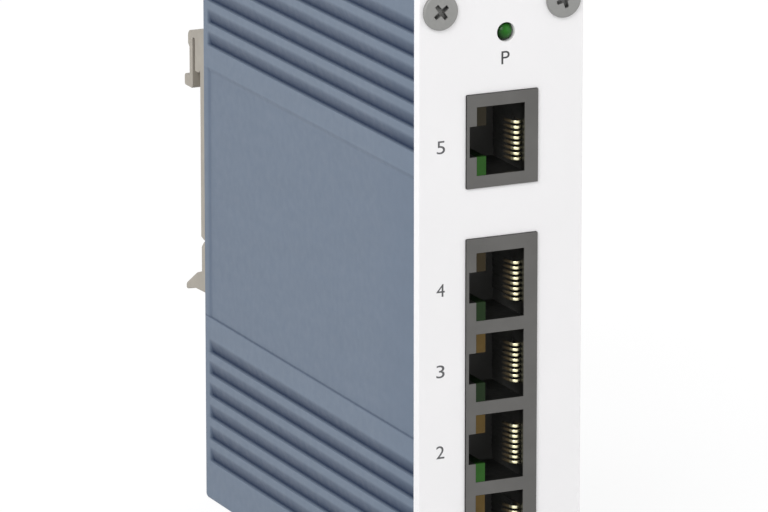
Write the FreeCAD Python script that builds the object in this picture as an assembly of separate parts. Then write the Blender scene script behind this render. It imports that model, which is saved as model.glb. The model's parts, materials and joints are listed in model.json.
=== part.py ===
"""Compact unmanaged five-port network switch for a 35 mm mounting rail.

Frame: millimetres, +Z up, the socket panel faces -Y and the rail clip is at +Y.
The shapes are drawn with Y = 0 on the housing's front rim, X = 0 on the middle plane
and Z = 0 on the flat base.  Each node is moved along Y as it is written, so that the
origin is the middle of the whole device's footprint.
"""
import FreeCAD, Part
import math
import os

V = FreeCAD.Vector

# ---------------------------------------------------------------- driving dimensions
# moulded housing
width = 30.0                    # across X
height = 113.0                  # along Z
housing_depth = 87.0            # along Y, front rim to back face
wall = 2.4                      # side, top, bottom and back walls
back_corner = 1.5               # rounding of the back's top and bottom edges
side_round = 0.4                # rounding of the edges round each side wall

# shadow grooves and recess in both side walls
groove_count = 6                # in each of the two groups
groove_pitch = 3.985
groove_depth = 0.95             # at the deepest line
groove_step = 0.22              # depth of the small step along the upper edge
groove_above = 2.55             # upper edge above the deepest line
groove_below = 0.14             # lower edge below the deepest line
groove_root = 0.12              # height of the flat at the deepest line
groove_stop = 2.15              # plain strip left before the back face
groove_base_inset = 7.275       # deepest line of the lowest groove above the base
groove_top_inset = 10.025       # deepest line of the highest groove below the top
recess_gap_low = 6.8            # recess above the lower group's highest line
recess_gap_high = 3.95          # recess below the upper group's lowest line
recess_depth = 0.3

# front panel
panel_thickness = 2.0
panel_corner = 0.8
cutout_clearance = 0.1

# corner screws, M3 low pan head
screw_r = 1.5
screw_length = 10.0             # under the head
head_r = 3.1
head_height = 1.0
recess_arm = 1.45               # half length of the cross recess
recess_slot = 0.8               # width of its arms
recess_deep = 0.85
screw_inset_x = 3.75            # from the sides
screw_inset_z = 6.2             # from the top and from the base
panel_hole_clearance = 0.15
boss_r = 2.9
boss_length = 12.0
thread_clearance = 0.02

# circuit board, parallel to the side walls
board_thickness = 1.6
board_boss_gap = 0.1            # between the board and the screw posts
board_front_y = 1.5
board_back_gap = 6.4            # between the board and the back wall
board_edge_gap = 0.3            # between board and walls at top and bottom
guide_clearance = 0.15
guide_height = 2.2
guide_width = 1.3

# modular sockets: 8 contacts, latch side towards -X
port_pitch = 13.97
gang_count = 4
low_port_inset = 17.39          # lowest port above the base
single_port_share = 0.518       # single port between the gang and the indicator's holder
shell_width = 13.05             # across X, from the board
shell_length = 21.0
bezel_proud = 0.4               # of the panel's front
single_border = 2.1             # of the single shell above and below its opening
gang_border = 2.45              # of the column of sockets above and below
opening_height = 11.7           # along Z
contact_bed = 2.47              # between the board and the plug cavity
cavity_width = 7.05             # plug cavity across X
cavity_length = 12.0
latch_reach = 3.05              # latch notch beyond the plug cavity
latch_height = 5.25
latch_length = 10.0
window_width = 1.74             # indicator windows either side of the notch
window_length = 9.0
window_set_back = 0.05
peg_r = 1.55                    # locating pegs into the board
peg_length = 1.4
peg_clearance = 0.08
peg_set_back = 17.0             # behind the socket's front
peg_offset_z = 5.4
shield_thickness = 0.25
shield_start = 0.2              # behind the panel's back face

# spring contacts
contact_count = 8
contact_pitch = 0.9
contact_width = 0.46
single_row_drop = 0.95          # row of wires below the middle of its opening
gang_row_drop = 0.45
contact_thickness = 0.3
contact_sink = 0.57             # centre line below the cavity wall
contact_bend = 0.85             # radius of the front bend
contact_bend_steps = 3          # straight lengths round the bend
contact_bend_y = 2.2            # centre of the bend behind the socket's front
contact_slant = 13.0            # degrees
contact_leg = 7.8
contact_pin_y = 13.95           # where the pin drops to the board
slot_clearance = 0.05
slot_start = 0.9
slot_floor = 0.85               # below the cavity wall

# power indicator
led_from_board = 5.7
led_inset_z = 10.85             # below the top
led_r = 1.45
led_proud = 0.7                 # dome above the panel's front
led_flange_r = 1.9
led_flange = 1.0
led_body = 3.6                  # behind the panel's front
led_hole_clearance = 0.3
holder_length = 5.0
holder_size = 5.0

# power inlet: four-pole plug-in header in the top wall
pole_count = 4
pole_pitch = 5.08
header_depth = 8.6              # across X
header_height = 12.0            # along Z
header_end = 2.1                # outer pole to the end of the body
header_wall = 0.8
header_cavity = 9.0
header_front_y = 16.0
header_below_top = 0.4
header_clearance = 0.15
pin_size = 1.0
pin_rise = 7.0                  # free length inside the header

# parts on the board; blocks are sizes out of the board, along Y and along Z
coil_block = (7.0, 6.0, 12.7)   # line transformer
coil_gap = 2.55                 # behind the sockets' shields
chip_block = (1.4, 14.0, 14.0)
chip_gap = 0.5                  # between the transformers and the chip's leads
chip_rise = 3.5                 # above the board's middle
chip_lift = 0.1                 # of a package above the board
lead_count = 7                  # along each side of the switch chip
lead_pitch = 1.7
lead_width = 0.55
lead_reach = 1.1
lead_thickness = 0.25
can_r = 5.0
can_height = 12.5
can_insets_z = (17.0, 29.0)     # below the top
rear_column = 16.0              # line of the large parts before the board's back edge
inductor_block = (5.5, 10.0, 10.0)
inductor_corner = 1.6
inductor_well_r = 3.6
inductor_well = 0.5
inductor_inset_z = 45.0         # below the top
crystal_block = (3.6, 4.6, 11.0)
crystal_flange = 0.4
crystal_flange_height = 0.5
crystal_corner = 1.5
crystal_drop = 17.5             # below the chip
regulator_block = (2.3, 6.1, 6.5)
regulator_tab = (0.6, 2.2, 5.2)
regulator_leg = (0.5, 2.6, 0.8)
regulator_leg_pitch = 4.56
regulator_step = 30.0           # before the board's back edge
regulator_inset_z = 29.0        # below the top
memory_block = (1.5, 3.9, 4.9)
memory_lead_reach = 1.05
memory_lead_width = 0.42
memory_lead_pitch = 1.27
memory_lead_count = 4
memory_step = 22.0              # before the board's back edge
memory_drop = 18.0              # below the chip
fuse_block = (2.6, 3.0, 8.0)
fuse_cap = (2.9, 3.3, 1.6)
fuse_step = 31.0                # before the board's back edge
fuse_inset_z = 15.0             # below the top
choke_r = 6.0
choke_bore_r = 2.8
choke_height = 6.0
choke_inset_z = 22.0            # above the base
bypass_block = (1.1, 2.0, 1.25)
bypass_count = 5
bypass_pitch = 3.2
bypass_gap = 2.6                # behind the chip
bulk_block = (1.6, 2.5, 3.2)
bulk_count = 4
bulk_pitch = 3.4
bulk_gap = 3.25                 # behind the transformers
bulk_inset_z = 21.0             # below the top

# rail clip: fixed bracket with the upper hook
rail_above_middle = 2.4         # middle of the rail above the housing's middle
rail_height = 35.0
clip_inset = 1.0                # from the housing's sides
clip_plate = 3.6                # plate behind the housing
mouth_width = 3.35              # for the rail's upper edge
hook_arm = 1.35                 # thickness of the springy arm
hook_lip = 2.2                  # lip beyond the arm
hook_lip_height = 2.1
hook_drop = 3.4                 # arm's end below the mouth's top
hook_rise = 7.0                 # block above the mouth's top
hook_pad = 0.6                  # thickened root of the arm
hook_pad_z = 3.85               # lower end of the pad above the mouth's top
slit_width = 1.1
slit_length = 5.4
hook_slope = 1.6                # top of the block rises this much towards the housing
bracket_screw_inset = 5.0       # from the housing's sides
bracket_screw_rise = 1.1        # above the rail's middle
bracket_screw_r = 1.5
bracket_screw_length = 8.0
bracket_screw_clearance = 0.1
bracket_head_r = 2.75
bracket_boss_length = 4.0

# sprung latch under the bracket
split_rise = 4.9                # latch meets bracket this far above the rail's lower edge
split_gap = 0.3
split_chamfer = 1.15            # of the latch's upper edge
latch_clearance = 0.15
nose_drop = 4.6                 # latch's base below the rail's lower edge
nose_reach = 6.85               # beyond the plate
nose_flat = 2.2
nose_top_drop = 0.95            # nose's root below the rail's lower edge
nose_fall = 0.75                # across the flat
nose_tip = 1.15                 # height of the blunt tip
catch_half_width = 5.0
catch_rise = 1.0                # above the rail's lower edge
catch_gap = 1.4                 # room for the rail's edge
tongue_half_width = 5.5
tongue_thickness = 2.3
tongue_length = 19.7            # above the split
tongue_round = 0.8
tongue_window = 1.8             # half width of the spring window
spring_window_rise = 2.7        # window's lower end above the split
spring_packed = 8.5             # room for the spring with the latch pulled down
lug_half_width = 1.4
lug_height = 1.7
lug_gap = 0.3
latch_travel = 3.0

# latch spring
spring_wire_r = 0.18
spring_r = 0.86                 # to the middle of the wire
spring_turns = 6
spring_steps = 8                # straight lengths in a turn
spring_sides = 4                # of the wire's section
spring_seat = 0.1

# ---------------------------------------------------------------- derived places
clip_reach = clip_plate + mouth_width + hook_arm + hook_lip
front_reach = panel_thickness + head_height
footprint_shift = (front_reach - housing_depth - clip_reach) / 2

groove_run = (groove_count - 1) * groove_pitch
recess_low_z = groove_base_inset + groove_run + recess_gap_low
recess_high_z = height - groove_top_inset - groove_run - recess_gap_high

screw_x = width / 2 - screw_inset_x
board_back_x = screw_x - boss_r - board_boss_gap
board_face_x = board_back_x - board_thickness
board_low_z = wall + board_edge_gap
board_high_z = height - wall - board_edge_gap
board_back_y = housing_depth - wall - board_back_gap

led_x = board_face_x - led_from_board
led_z = height - led_inset_z
socket_front_y = -panel_thickness - bezel_proud
shell_far_x = board_face_x - shell_width
single_half = opening_height / 2 + single_border
gang_half = opening_height / 2 + gang_border
gang_ports = [low_port_inset + i * port_pitch for i in reversed(range(gang_count))]
gang_high_z = gang_ports[0] + gang_half
single_port_z = gang_high_z + single_port_share * (led_z - holder_size / 2 - gang_high_z)
contact_wall_x = board_face_x - contact_bed
cavity_far_x = contact_wall_x - cavity_width
window_far_x = cavity_far_x - window_width
latch_far_x = cavity_far_x - latch_reach

coil_y = socket_front_y + shell_length + shield_thickness + coil_gap
coil_back_y = coil_y + coil_block[1]
chip_y = coil_back_y + chip_gap + lead_reach + chip_block[1] / 2
chip_z = (board_low_z + board_high_z) / 2 + chip_rise
rear_y = board_back_y - rear_column
screw_places = [(sx * screw_x, z) for sx in (-1, 1)
                for z in (screw_inset_z, height - screw_inset_z)]
header_length = (pole_count - 1) * pole_pitch + 2 * header_end + 2 * header_wall
header_top_z = height - header_below_top
header_low_z = header_top_z - header_height
header_far_x = board_face_x - header_depth

clip_half_width = width / 2 - clip_inset
plate_y = housing_depth + clip_plate
rail_z = height / 2 + rail_above_middle
mouth_z = rail_z + rail_height / 2
rail_low_z = rail_z - rail_height / 2
arm_y = plate_y + mouth_width
bracket_screw_x = width / 2 - bracket_screw_inset
bracket_screw_z = rail_z + bracket_screw_rise
split_z = rail_low_z + split_rise
latch_base_z = rail_low_z - nose_drop
nose_top_z = rail_low_z - nose_top_drop
nose_tip_z = latch_base_z
tongue_top_z = split_z + tongue_length
window_low_z = split_z + spring_window_rise
window_high_z = window_low_z + lug_gap + lug_height + spring_packed + latch_travel
pocket_top_z = tongue_top_z + lug_gap
pocket_depth = tongue_thickness + 2 * latch_clearance
lug_low_z = window_low_z + lug_gap


# ---------------------------------------------------------------- helpers
def box(x0, x1, y0, y1, z0, z1):
    """Block between two opposite corners."""
    return Part.makeBox(x1 - x0, y1 - y0, z1 - z0, V(x0, y0, z0))


def outline(points):
    """Closed face through points; a point that is a pair of vectors is an arc's
    middle and end."""
    edges = []
    here = points[0]
    for item in points[1:] + [points[0]]:
        if isinstance(item, tuple):
            edges.append(Part.Arc(here, item[0], item[1]).toShape())
            here = item[1]
        else:
            if here.distanceToPoint(item) > 1e-6:
                edges.append(Part.LineSegment(here, item).toShape())
            here = item
    return Part.Face(Part.Wire(edges))


def side_profile(points, x0, x1):
    """Outline in Y and Z carried along X."""
    flat = [tuple(V(x0, *p) for p in item) if isinstance(item[0], tuple) else V(x0, *item)
            for item in points]
    return outline(flat).extrude(V(x1 - x0, 0, 0))


def front_profile(points, y0, y1):
    """Outline in X and Z carried along Y."""
    flat = [tuple(V(p[0], y0, p[1]) for p in item) if isinstance(item[0], tuple)
            else V(item[0], y0, item[1]) for item in points]
    return outline(flat).extrude(V(0, y1 - y0, 0))


def plan_profile(points, z0, z1):
    """Outline in X and Y carried along Z."""
    flat = [tuple(V(p[0], p[1], z0) for p in item) if isinstance(item[0], tuple)
            else V(item[0], item[1], z0) for item in points]
    return outline(flat).extrude(V(0, 0, z1 - z0))


def rod_y(r, y0, y1, x, z):
    """Round bar along Y."""
    return Part.makeCylinder(r, y1 - y0, V(x, y0, z), V(0, 1, 0))


def rod_x(r, x0, x1, y, z):
    """Round bar along X."""
    return Part.makeCylinder(r, x1 - x0, V(x0, y, z), V(1, 0, 0))


def turned_y(points, x, z):
    """Half section of radius and Y, turned about the line along Y through x and z."""
    flat = [tuple(V(x + p[0], p[1], z) for p in item) if isinstance(item[0], tuple)
            else V(x + item[0], item[1], z) for item in points]
    return outline(flat).revolve(V(x, 0, z), V(0, 1, 0), 360)


def edges_where(shape, test):
    """Edges whose every end passes the test."""
    return [e for e in shape.Edges if all(test(v.Point) for v in e.Vertexes)]


def near(a, b):
    return abs(a - b) < 1e-4


def write(name, solids):
    """Move the node to the footprint's middle and write it."""
    shape = solids[0] if len(solids) == 1 else Part.makeCompound(solids)
    shape = shape.removeSplitter()
    shape.translate(V(0, footprint_shift, 0))
    shape.exportStep("parts/" + name + ".step")


# ---------------------------------------------------------------- housing
def groove(z, side):
    """One shadow groove: a small step, a ramp inwards, a narrow root and a sloping shelf."""
    out = side * width / 2
    spill = side * (width / 2 + 1.0)
    deep = out - side * groove_depth
    step = out - side * groove_step
    points = [(spill, z + groove_above), (out, z + groove_above),
              (step, z + groove_above - groove_step), (deep, z + groove_root / 2),
              (deep, z - groove_root / 2), (out, z - groove_below), (spill, z - groove_below)]
    return front_profile(points, -1.0, housing_depth - groove_stop)


def housing():
    """One moulding, open at the front."""
    x = width / 2
    outer = box(-x, x, 0, housing_depth, 0, height)
    back = edges_where(outer, lambda p: near(p.y, housing_depth))
    back = [e for e in back if near(abs(e.tangentAt(e.FirstParameter).x), 1)]
    outer = outer.makeFillet(back_corner, back)
    sides = edges_where(outer, lambda p: near(abs(p.x), x))
    sides = [e for e in sides if not near(e.CenterOfMass.y, 0)]
    outer = outer.makeFillet(side_round, sides)
    inner = box(-x + wall, x - wall, -1, housing_depth - wall, wall, height - wall)
    body = outer.cut(inner)
    added = []
    for sx, z in screw_places:
        post = rod_y(boss_r, 0, boss_length, sx, z)
        side = x if sx > 0 else -x
        base = 0 if z < height / 2 else height
        web = box(min(sx, side), max(sx, side), 0, boss_length, z - boss_r, z + boss_r)
        foot = box(sx - boss_r, sx + boss_r, 0, boss_length, min(base, z), max(base, z))
        added += [post, web.common(outer), foot.common(outer)]
    for z0, z1, start in ((wall - 0.2, wall + guide_height, boss_length + 1),
                          (height - wall - guide_height, height - wall + 0.2,
                           header_front_y + header_length + 1)):
        left = board_face_x - guide_clearance
        right = board_back_x + guide_clearance
        end = housing_depth - wall + 0.2
        added.append(box(left - guide_width, left, start, end, z0, z1))
        added.append(box(right, right + guide_width, start, end, z0, z1))
        added.append(box(left, right, board_back_y + guide_clearance, end, z0, z1))
    for sx in (-bracket_screw_x, bracket_screw_x):
        start = housing_depth - wall - bracket_boss_length
        added.append(box(sx - boss_r, sx + boss_r, start, housing_depth - wall / 2,
                         bracket_screw_z - boss_r, bracket_screw_z + boss_r))
    body = body.fuse(added)
    cuts = []
    for sx, z in screw_places:
        cuts.append(rod_y(screw_r + thread_clearance, -1, boss_length - 1, sx, z))
    for sx in (-bracket_screw_x, bracket_screw_x):
        cuts.append(rod_y(bracket_screw_r + thread_clearance,
                          housing_depth - wall - bracket_boss_length - 1,
                          housing_depth + 1, sx, bracket_screw_z))
    cuts.append(box(header_far_x - header_clearance, board_face_x + header_clearance,
                    header_front_y - header_clearance,
                    header_front_y + header_length + header_clearance,
                    height - wall - 1, height + 1))
    end = housing_depth - groove_stop
    for side in (-1, 1):
        for i in range(groove_count):
            cuts.append(groove(groove_base_inset + i * groove_pitch, side))
            cuts.append(groove(height - groove_top_inset - i * groove_pitch, side))
        faces = sorted((side * (x - recess_depth), side * (x + 1)))
        cuts.append(box(faces[0], faces[1], -1, end, recess_low_z, recess_high_z))
    return body.cut(cuts)


# ---------------------------------------------------------------- front
def front_panel():
    """Plate with cut-outs for both socket shells, the indicator and four screws."""
    x = width / 2
    plate = box(-x, x, -panel_thickness, 0, 0, height)
    corners = [e for e in plate.Edges if near(abs(e.tangentAt(e.FirstParameter).y), 1)]
    plate = plate.makeFillet(panel_corner, corners)
    left = shell_far_x - cutout_clearance
    right = board_face_x + cutout_clearance
    cuts = []
    for ports in ([single_port_z], gang_ports):
        reach = half_port(ports) + cutout_clearance
        cuts.append(box(left, right, -panel_thickness - 1, 1,
                        ports[-1] - reach, ports[0] + reach))
    cuts.append(rod_y(led_r + led_hole_clearance, -panel_thickness - 1, 1, led_x, led_z))
    for sx, z in screw_places:
        cuts.append(rod_y(screw_r + panel_hole_clearance, -panel_thickness - 1, 1, sx, z))
    return plate.cut(cuts)


def panel_screw(x, z):
    """Low pan head screw with a cross recess."""
    seat = -panel_thickness
    top = seat - head_height
    tip = seat + screw_length
    body = turned_y([(0, top), (head_r, top), (head_r, seat), (screw_r, seat),
                     (screw_r, tip), (0, tip)], x, z)
    arms = []
    for a, b in ((recess_arm, recess_slot / 2), (recess_slot / 2, recess_arm)):
        arms.append(box(x - a, x + a, top - 1, top + recess_deep, z - b, z + b))
    cross = arms[0].fuse(arms[1])
    cross.rotate(V(x, 0, z), V(0, 1, 0), 45 if x < 0 else 20)
    return body.cut(cross)


# ---------------------------------------------------------------- sockets
def contact(z):
    """Spring wire: pin, floor run, front bend and slanted leg, cut from a strip."""
    h = contact_thickness / 2
    x = contact_wall_x + contact_sink
    r = contact_bend
    cy = socket_front_y + contact_bend_y
    py = socket_front_y + contact_pin_y
    a = math.radians(contact_slant)
    cx = x - r
    turn = math.pi - a
    leg = (-math.sin(a) * contact_leg, math.cos(a) * contact_leg)

    def bend(radius):
        angles = [turn * i / contact_bend_steps for i in range(contact_bend_steps + 1)]
        return [(cx + radius * math.cos(t), cy - radius * math.sin(t)) for t in angles]

    inner = bend(r - h)
    outer = bend(r + h)
    inner.append((inner[-1][0] + leg[0], inner[-1][1] + leg[1]))
    outer.append((outer[-1][0] + leg[0], outer[-1][1] + leg[1]))
    points = [(board_face_x, py + h), (x - h, py + h)] + inner + outer[::-1]
    points += [(x + h, py - h), (board_face_x, py - h)]
    return plan_profile(points, z - contact_width / 2, z + contact_width / 2)


def contact_places(port_z, drop):
    """Heights of the wires of one port, whose row lies below the port's middle."""
    first = port_z - drop - (contact_count - 1) * contact_pitch / 2
    return [first + i * contact_pitch for i in range(contact_count)]


def port_cuts(port_z, drop):
    """Everything that is open in a shell at one port."""
    half = opening_height / 2
    front = socket_front_y - 1
    y0 = socket_front_y
    latch = latch_height / 2
    cuts = [box(cavity_far_x, contact_wall_x, front, y0 + cavity_length,
                port_z - half, port_z + half),
            box(window_far_x, cavity_far_x + 0.1, front, y0 + window_set_back + window_length,
                port_z - half, port_z + half),
            box(latch_far_x, cavity_far_x + 0.1, front, y0 + latch_length,
                port_z - latch, port_z + latch)]
    wide = contact_width / 2 + slot_clearance
    floor_x = contact_wall_x + slot_floor
    pin = y0 + contact_pin_y
    grip = contact_thickness / 2 + slot_clearance
    places = contact_places(port_z, drop)
    for z in places:
        cuts.append(box(contact_wall_x - 0.1, floor_x, y0 + slot_start, pin + grip,
                        z - wide, z + wide))
    cuts.append(box(contact_wall_x - 0.1, board_face_x + 1, pin - grip, pin + grip,
                    places[0] - wide, places[-1] + wide))
    return cuts


def peg_places(ports):
    """One peg near a single socket's top; one near each end of a column."""
    top = ports[0] + peg_offset_z
    return [top] if len(ports) == 1 else [ports[-1] - peg_offset_z, top]


def half_port(ports):
    """From a port's middle to the end of its shell."""
    return single_half if len(ports) == 1 else gang_half


def socket_shell(ports, drop):
    """Insulating body for a column of ports, highest port first."""
    low = ports[-1] - half_port(ports)
    high = ports[0] + half_port(ports)
    body = box(shell_far_x, board_face_x, socket_front_y,
               socket_front_y + shell_length, low, high)
    pegs = [rod_x(peg_r, board_face_x - 0.5, board_face_x + peg_length,
                  socket_front_y + peg_set_back, z) for z in peg_places(ports)]
    cuts = []
    for z in ports:
        cuts += port_cuts(z, drop)
    return body.fuse(pegs).cut(cuts)


def socket_shield(ports):
    """Folded tinplate cover over four sides of a shell, behind the panel."""
    t = shield_thickness
    low = ports[-1] - half_port(ports)
    high = ports[0] + half_port(ports)
    end = socket_front_y + shell_length
    outer = box(shell_far_x - t, board_face_x, shield_start, end + t, low - t, high + t)
    inner = box(shell_far_x, board_face_x + 1, shield_start - 1, end, low, high)
    return outer.cut(inner)


def window_block(port_z, side):
    """Indicator window in the corner above (+1) or below (-1) the latch notch."""
    near_z = port_z + side * latch_height / 2
    far_z = port_z + side * opening_height / 2
    low, high = sorted((near_z, far_z))
    y0 = socket_front_y + window_set_back
    return box(window_far_x, cavity_far_x, y0, y0 + window_length, low, high)


# ---------------------------------------------------------------- power indicator
def power_led():
    """Domed lens with a flange that seats in the holder."""
    front = -panel_thickness
    tip = front - led_proud
    back = front + led_body
    side = tip + led_r
    knee = ((led_r * math.sin(math.pi / 4), side - led_r * math.cos(math.pi / 4)), (led_r, side))
    return turned_y([(0, tip), knee, (led_r, back - led_flange),
                     (led_flange_r, back - led_flange), (led_flange_r, back), (0, back)],
                    led_x, led_z)


def led_holder():
    """Right-angle block on the board that carries the lens."""
    back = led_body - panel_thickness
    half = holder_size / 2
    return box(led_x - half, board_face_x, back, back + holder_length,
               led_z - half, led_z + half)


# ---------------------------------------------------------------- power inlet
def pole_places():
    first = header_front_y + header_wall + header_end
    return [first + i * pole_pitch for i in range(pole_count)]


def power_header():
    """Plug-in header body, its mouth in the top wall."""
    y0 = header_front_y
    body = box(header_far_x, board_face_x, y0, y0 + header_length, header_low_z, header_top_z)
    x0 = header_far_x + header_wall
    x1 = board_face_x - header_wall
    cuts = [box(x0, x1, y0 + header_wall, y0 + header_length - header_wall,
                header_top_z - header_cavity, header_top_z + 1)]
    for y in pole_places():
        notch = pole_pitch / 4
        cuts.append(box(header_far_x - 1, x0 + 0.1, y - notch, y + notch,
                        header_top_z - header_cavity / 2, header_top_z + 1))
        half = pin_size / 2
        x = header_middle_x()
        cuts.append(box(x - half, x + half, y - half, y + half,
                        header_low_z + pin_size, header_top_z))
        cuts.append(box(x - half, board_face_x + 1, y - half, y + half,
                        header_low_z + pin_size, header_low_z + 2 * pin_size))
    return body.cut(cuts)


def header_middle_x():
    return (header_far_x + board_face_x) / 2


def header_pin(y):
    """Square pin bent from the mouth to the board."""
    half = pin_size / 2
    x = header_middle_x()
    low = header_low_z + pin_size
    top = header_top_z - header_cavity + pin_rise
    points = [(x - half, low), (board_face_x, low), (board_face_x, low + pin_size),
              (x + half, low + pin_size), (x + half, top), (x - half, top)]
    return front_profile(points, y - half, y + half)


# ---------------------------------------------------------------- circuit board
def main_board():
    board = box(board_face_x, board_back_x, board_front_y, board_back_y,
                board_low_z, board_high_z)
    cuts = []
    for ports in ([single_port_z], gang_ports):
        for z in peg_places(ports):
            cuts.append(rod_x(peg_r + peg_clearance, board_face_x - 1, board_back_x + 1,
                              socket_front_y + peg_set_back, z))
    return board.cut(cuts)


def on_board(block, y, z, lift=0.0):
    """Block standing on the board's socket side, centred on y and z."""
    out, along_y, along_z = block
    return box(board_face_x - lift - out, board_face_x - lift, y - along_y / 2,
               y + along_y / 2, z - along_z / 2, z + along_z / 2)


def cut_corner_block(block, y, z, corner):
    """Block on the board with its four upright edges cut off."""
    body = on_board(block, y, z)
    upright = [e for e in body.Edges if near(abs(e.tangentAt(e.FirstParameter).x), 1)]
    return body.makeChamfer(corner, upright)


def bevelled_block(block, y, z, bevel, lift=0.0):
    """Block on the board with its upper rim bevelled."""
    body = on_board(block, y, z, lift)
    rim = edges_where(body, lambda p: near(p.x, board_face_x - lift - block[0]))
    return body.makeChamfer(bevel, rim)


def switch_chip():
    """Flat square package with leads on four sides."""
    body = bevelled_block(chip_block, chip_y, chip_z, 0.3, chip_lift)
    root = 0.3
    stub = lead_reach + root
    off_y = chip_block[1] / 2 - root + stub / 2
    off_z = chip_block[2] / 2 - root + stub / 2
    leads = []
    for i in range(lead_count):
        at = (i - (lead_count - 1) / 2) * lead_pitch
        for side in (-1, 1):
            leads.append(on_board((lead_thickness, stub, lead_width),
                                  chip_y + side * off_y, chip_z + at))
            leads.append(on_board((lead_thickness, lead_width, stub),
                                  chip_y + at, chip_z + side * off_z))
    return body.fuse(leads)


def line_transformer(z):
    """Potted coil block with a bevelled top."""
    return bevelled_block(coil_block, coil_y + coil_block[1] / 2, z, 0.4)


def filter_can(z):
    """Electrolytic capacitor standing on the board."""
    return rod_x(can_r, board_face_x - can_height, board_face_x, rear_y, z)


def power_inductor():
    """Square ferrite drum with a round well."""
    z = height - inductor_inset_z
    block = cut_corner_block(inductor_block, rear_y, z, inductor_corner)
    top = board_face_x - inductor_block[0]
    return block.cut(rod_x(inductor_well_r, top - 1, top + inductor_well, rear_y, z))


def clock_crystal():
    """Low metal can with narrowed ends and a flange."""
    z = chip_z - crystal_drop
    out, along_y, along_z = crystal_block
    rim = (crystal_flange_height, along_y + 2 * crystal_flange, along_z + 2 * crystal_flange)
    can = cut_corner_block(crystal_block, chip_y, z, crystal_corner)
    return can.fuse(cut_corner_block(rim, chip_y, z, crystal_corner))


def voltage_regulator():
    y = board_back_y - regulator_step
    z = height - regulator_inset_z
    body = on_board(regulator_block, y, z)
    half = regulator_block[1] / 2
    tab = on_board(regulator_tab, y + half + regulator_tab[1] / 2 - 0.1, z)
    legs = [on_board(regulator_leg, y - half - regulator_leg[1] / 2 + 0.1,
                     z + side * regulator_leg_pitch / 2) for side in (-1, 1)]
    return body.fuse([tab] + legs)


def memory_chip():
    y = board_back_y - memory_step
    z = chip_z - memory_drop
    body = on_board(memory_block, y, z, chip_lift)
    reach = memory_block[1] + 2 * memory_lead_reach
    first = z - (memory_lead_count - 1) * memory_lead_pitch / 2
    legs = [on_board((lead_thickness, reach, memory_lead_width), y, first + i * memory_lead_pitch)
            for i in range(memory_lead_count)]
    return body.fuse(legs)


def input_fuse():
    y = board_back_y - fuse_step
    z = height - fuse_inset_z
    end = (fuse_block[2] - fuse_cap[2]) / 2 + 0.2
    caps = [on_board(fuse_cap, y, z + side * end) for side in (-1, 1)]
    return on_board(fuse_block, y, z).fuse(caps)


def input_choke():
    """Ring core lying on the board."""
    low = board_face_x - choke_height
    ring = rod_x(choke_r, low, board_face_x, rear_y, choke_inset_z)
    return ring.cut(rod_x(choke_bore_r, low - 1, board_face_x + 1, rear_y, choke_inset_z))


def chip_capacitors():
    """Ceramic chip capacitors behind the switch chip and behind the transformers."""
    out = []
    y = chip_y + chip_block[1] / 2 + bypass_gap + bypass_block[1] / 2
    first = chip_z - (bypass_count - 1) * bypass_pitch / 2
    for i in range(bypass_count):
        out.append(on_board(bypass_block, y, first + i * bypass_pitch))
    first = coil_back_y + bulk_gap + bulk_block[1] / 2
    for i in range(bulk_count):
        out.append(on_board(bulk_block, first + i * bulk_pitch, height - bulk_inset_z))
    return out


# ---------------------------------------------------------------- rail clip
def din_bracket():
    """Fixed plate with the springy upper hook and the latch's pocket."""
    back = housing_depth
    lip_y = arm_y + hook_arm + hook_lip
    arm_back = arm_y + hook_arm
    pad_back = arm_back + hook_pad
    top = mouth_z + hook_rise
    end = mouth_z - hook_drop
    low = split_z + split_gap / 2
    lead = 0.35
    corner = 1.2
    slit = arm_y - slit_width
    points = [(back, low), (plate_y - split_chamfer, low), (plate_y, low + lead),
              (plate_y, mouth_z + 0.6), (plate_y + 0.8, mouth_z),
              (slit, mouth_z), (slit, mouth_z + slit_length),
              ((slit + slit_width / 2, mouth_z + slit_length + slit_width / 2),
               (arm_y, mouth_z + slit_length)),
              (arm_y, end + 0.4), (arm_y + 0.4, end), (lip_y - 0.3, end),
              (lip_y, end + 0.3), (lip_y, end + hook_lip_height - 0.4),
              (lip_y - 0.4, end + hook_lip_height), (arm_back, end + hook_lip_height),
              (arm_back, mouth_z + hook_pad_z), (pad_back, mouth_z + hook_pad_z + hook_pad),
              (pad_back, top - corner),
              ((pad_back - 0.3 * corner, top - 0.3 * corner), (pad_back - corner, top)),
              (back + 1.0, top + hook_slope), (back, top + hook_slope - 1.0)]
    body = side_profile(points, -clip_half_width, clip_half_width)
    pocket = box(-tongue_half_width - latch_clearance, tongue_half_width + latch_clearance,
                 back - 1, back + pocket_depth, low - 1, pocket_top_z)
    body = body.cut(pocket)
    lug = box(-lug_half_width, lug_half_width, back + 2 * latch_clearance,
              back + pocket_depth + 0.2, lug_low_z, lug_low_z + lug_height)
    body = body.fuse(lug)
    cuts = []
    cone = bracket_head_r - bracket_screw_r
    for sx in (-bracket_screw_x, bracket_screw_x):
        cuts.append(rod_y(bracket_screw_r + bracket_screw_clearance, back - 1, plate_y + 1,
                          sx, bracket_screw_z))
        cuts.append(Part.makeCone(bracket_screw_r, bracket_head_r, cone,
                                  V(sx, plate_y - cone, bracket_screw_z), V(0, 1, 0)))
    return body.cut(cuts)


def bracket_screw(x):
    """Countersunk screw into the housing's back boss."""
    top = plate_y
    cone = bracket_head_r - bracket_screw_r
    tip = top - bracket_screw_length
    body = turned_y([(0, top), (bracket_head_r, top), (bracket_screw_r, top - cone),
                     (bracket_screw_r, tip), (0, tip)], x, bracket_screw_z)
    arms = []
    for a, b in ((recess_arm, recess_slot / 2), (recess_slot / 2, recess_arm)):
        arms.append(box(x - a, x + a, top - recess_deep, top + 1, bracket_screw_z - b,
                        bracket_screw_z + b))
    return body.cut(arms)


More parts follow.
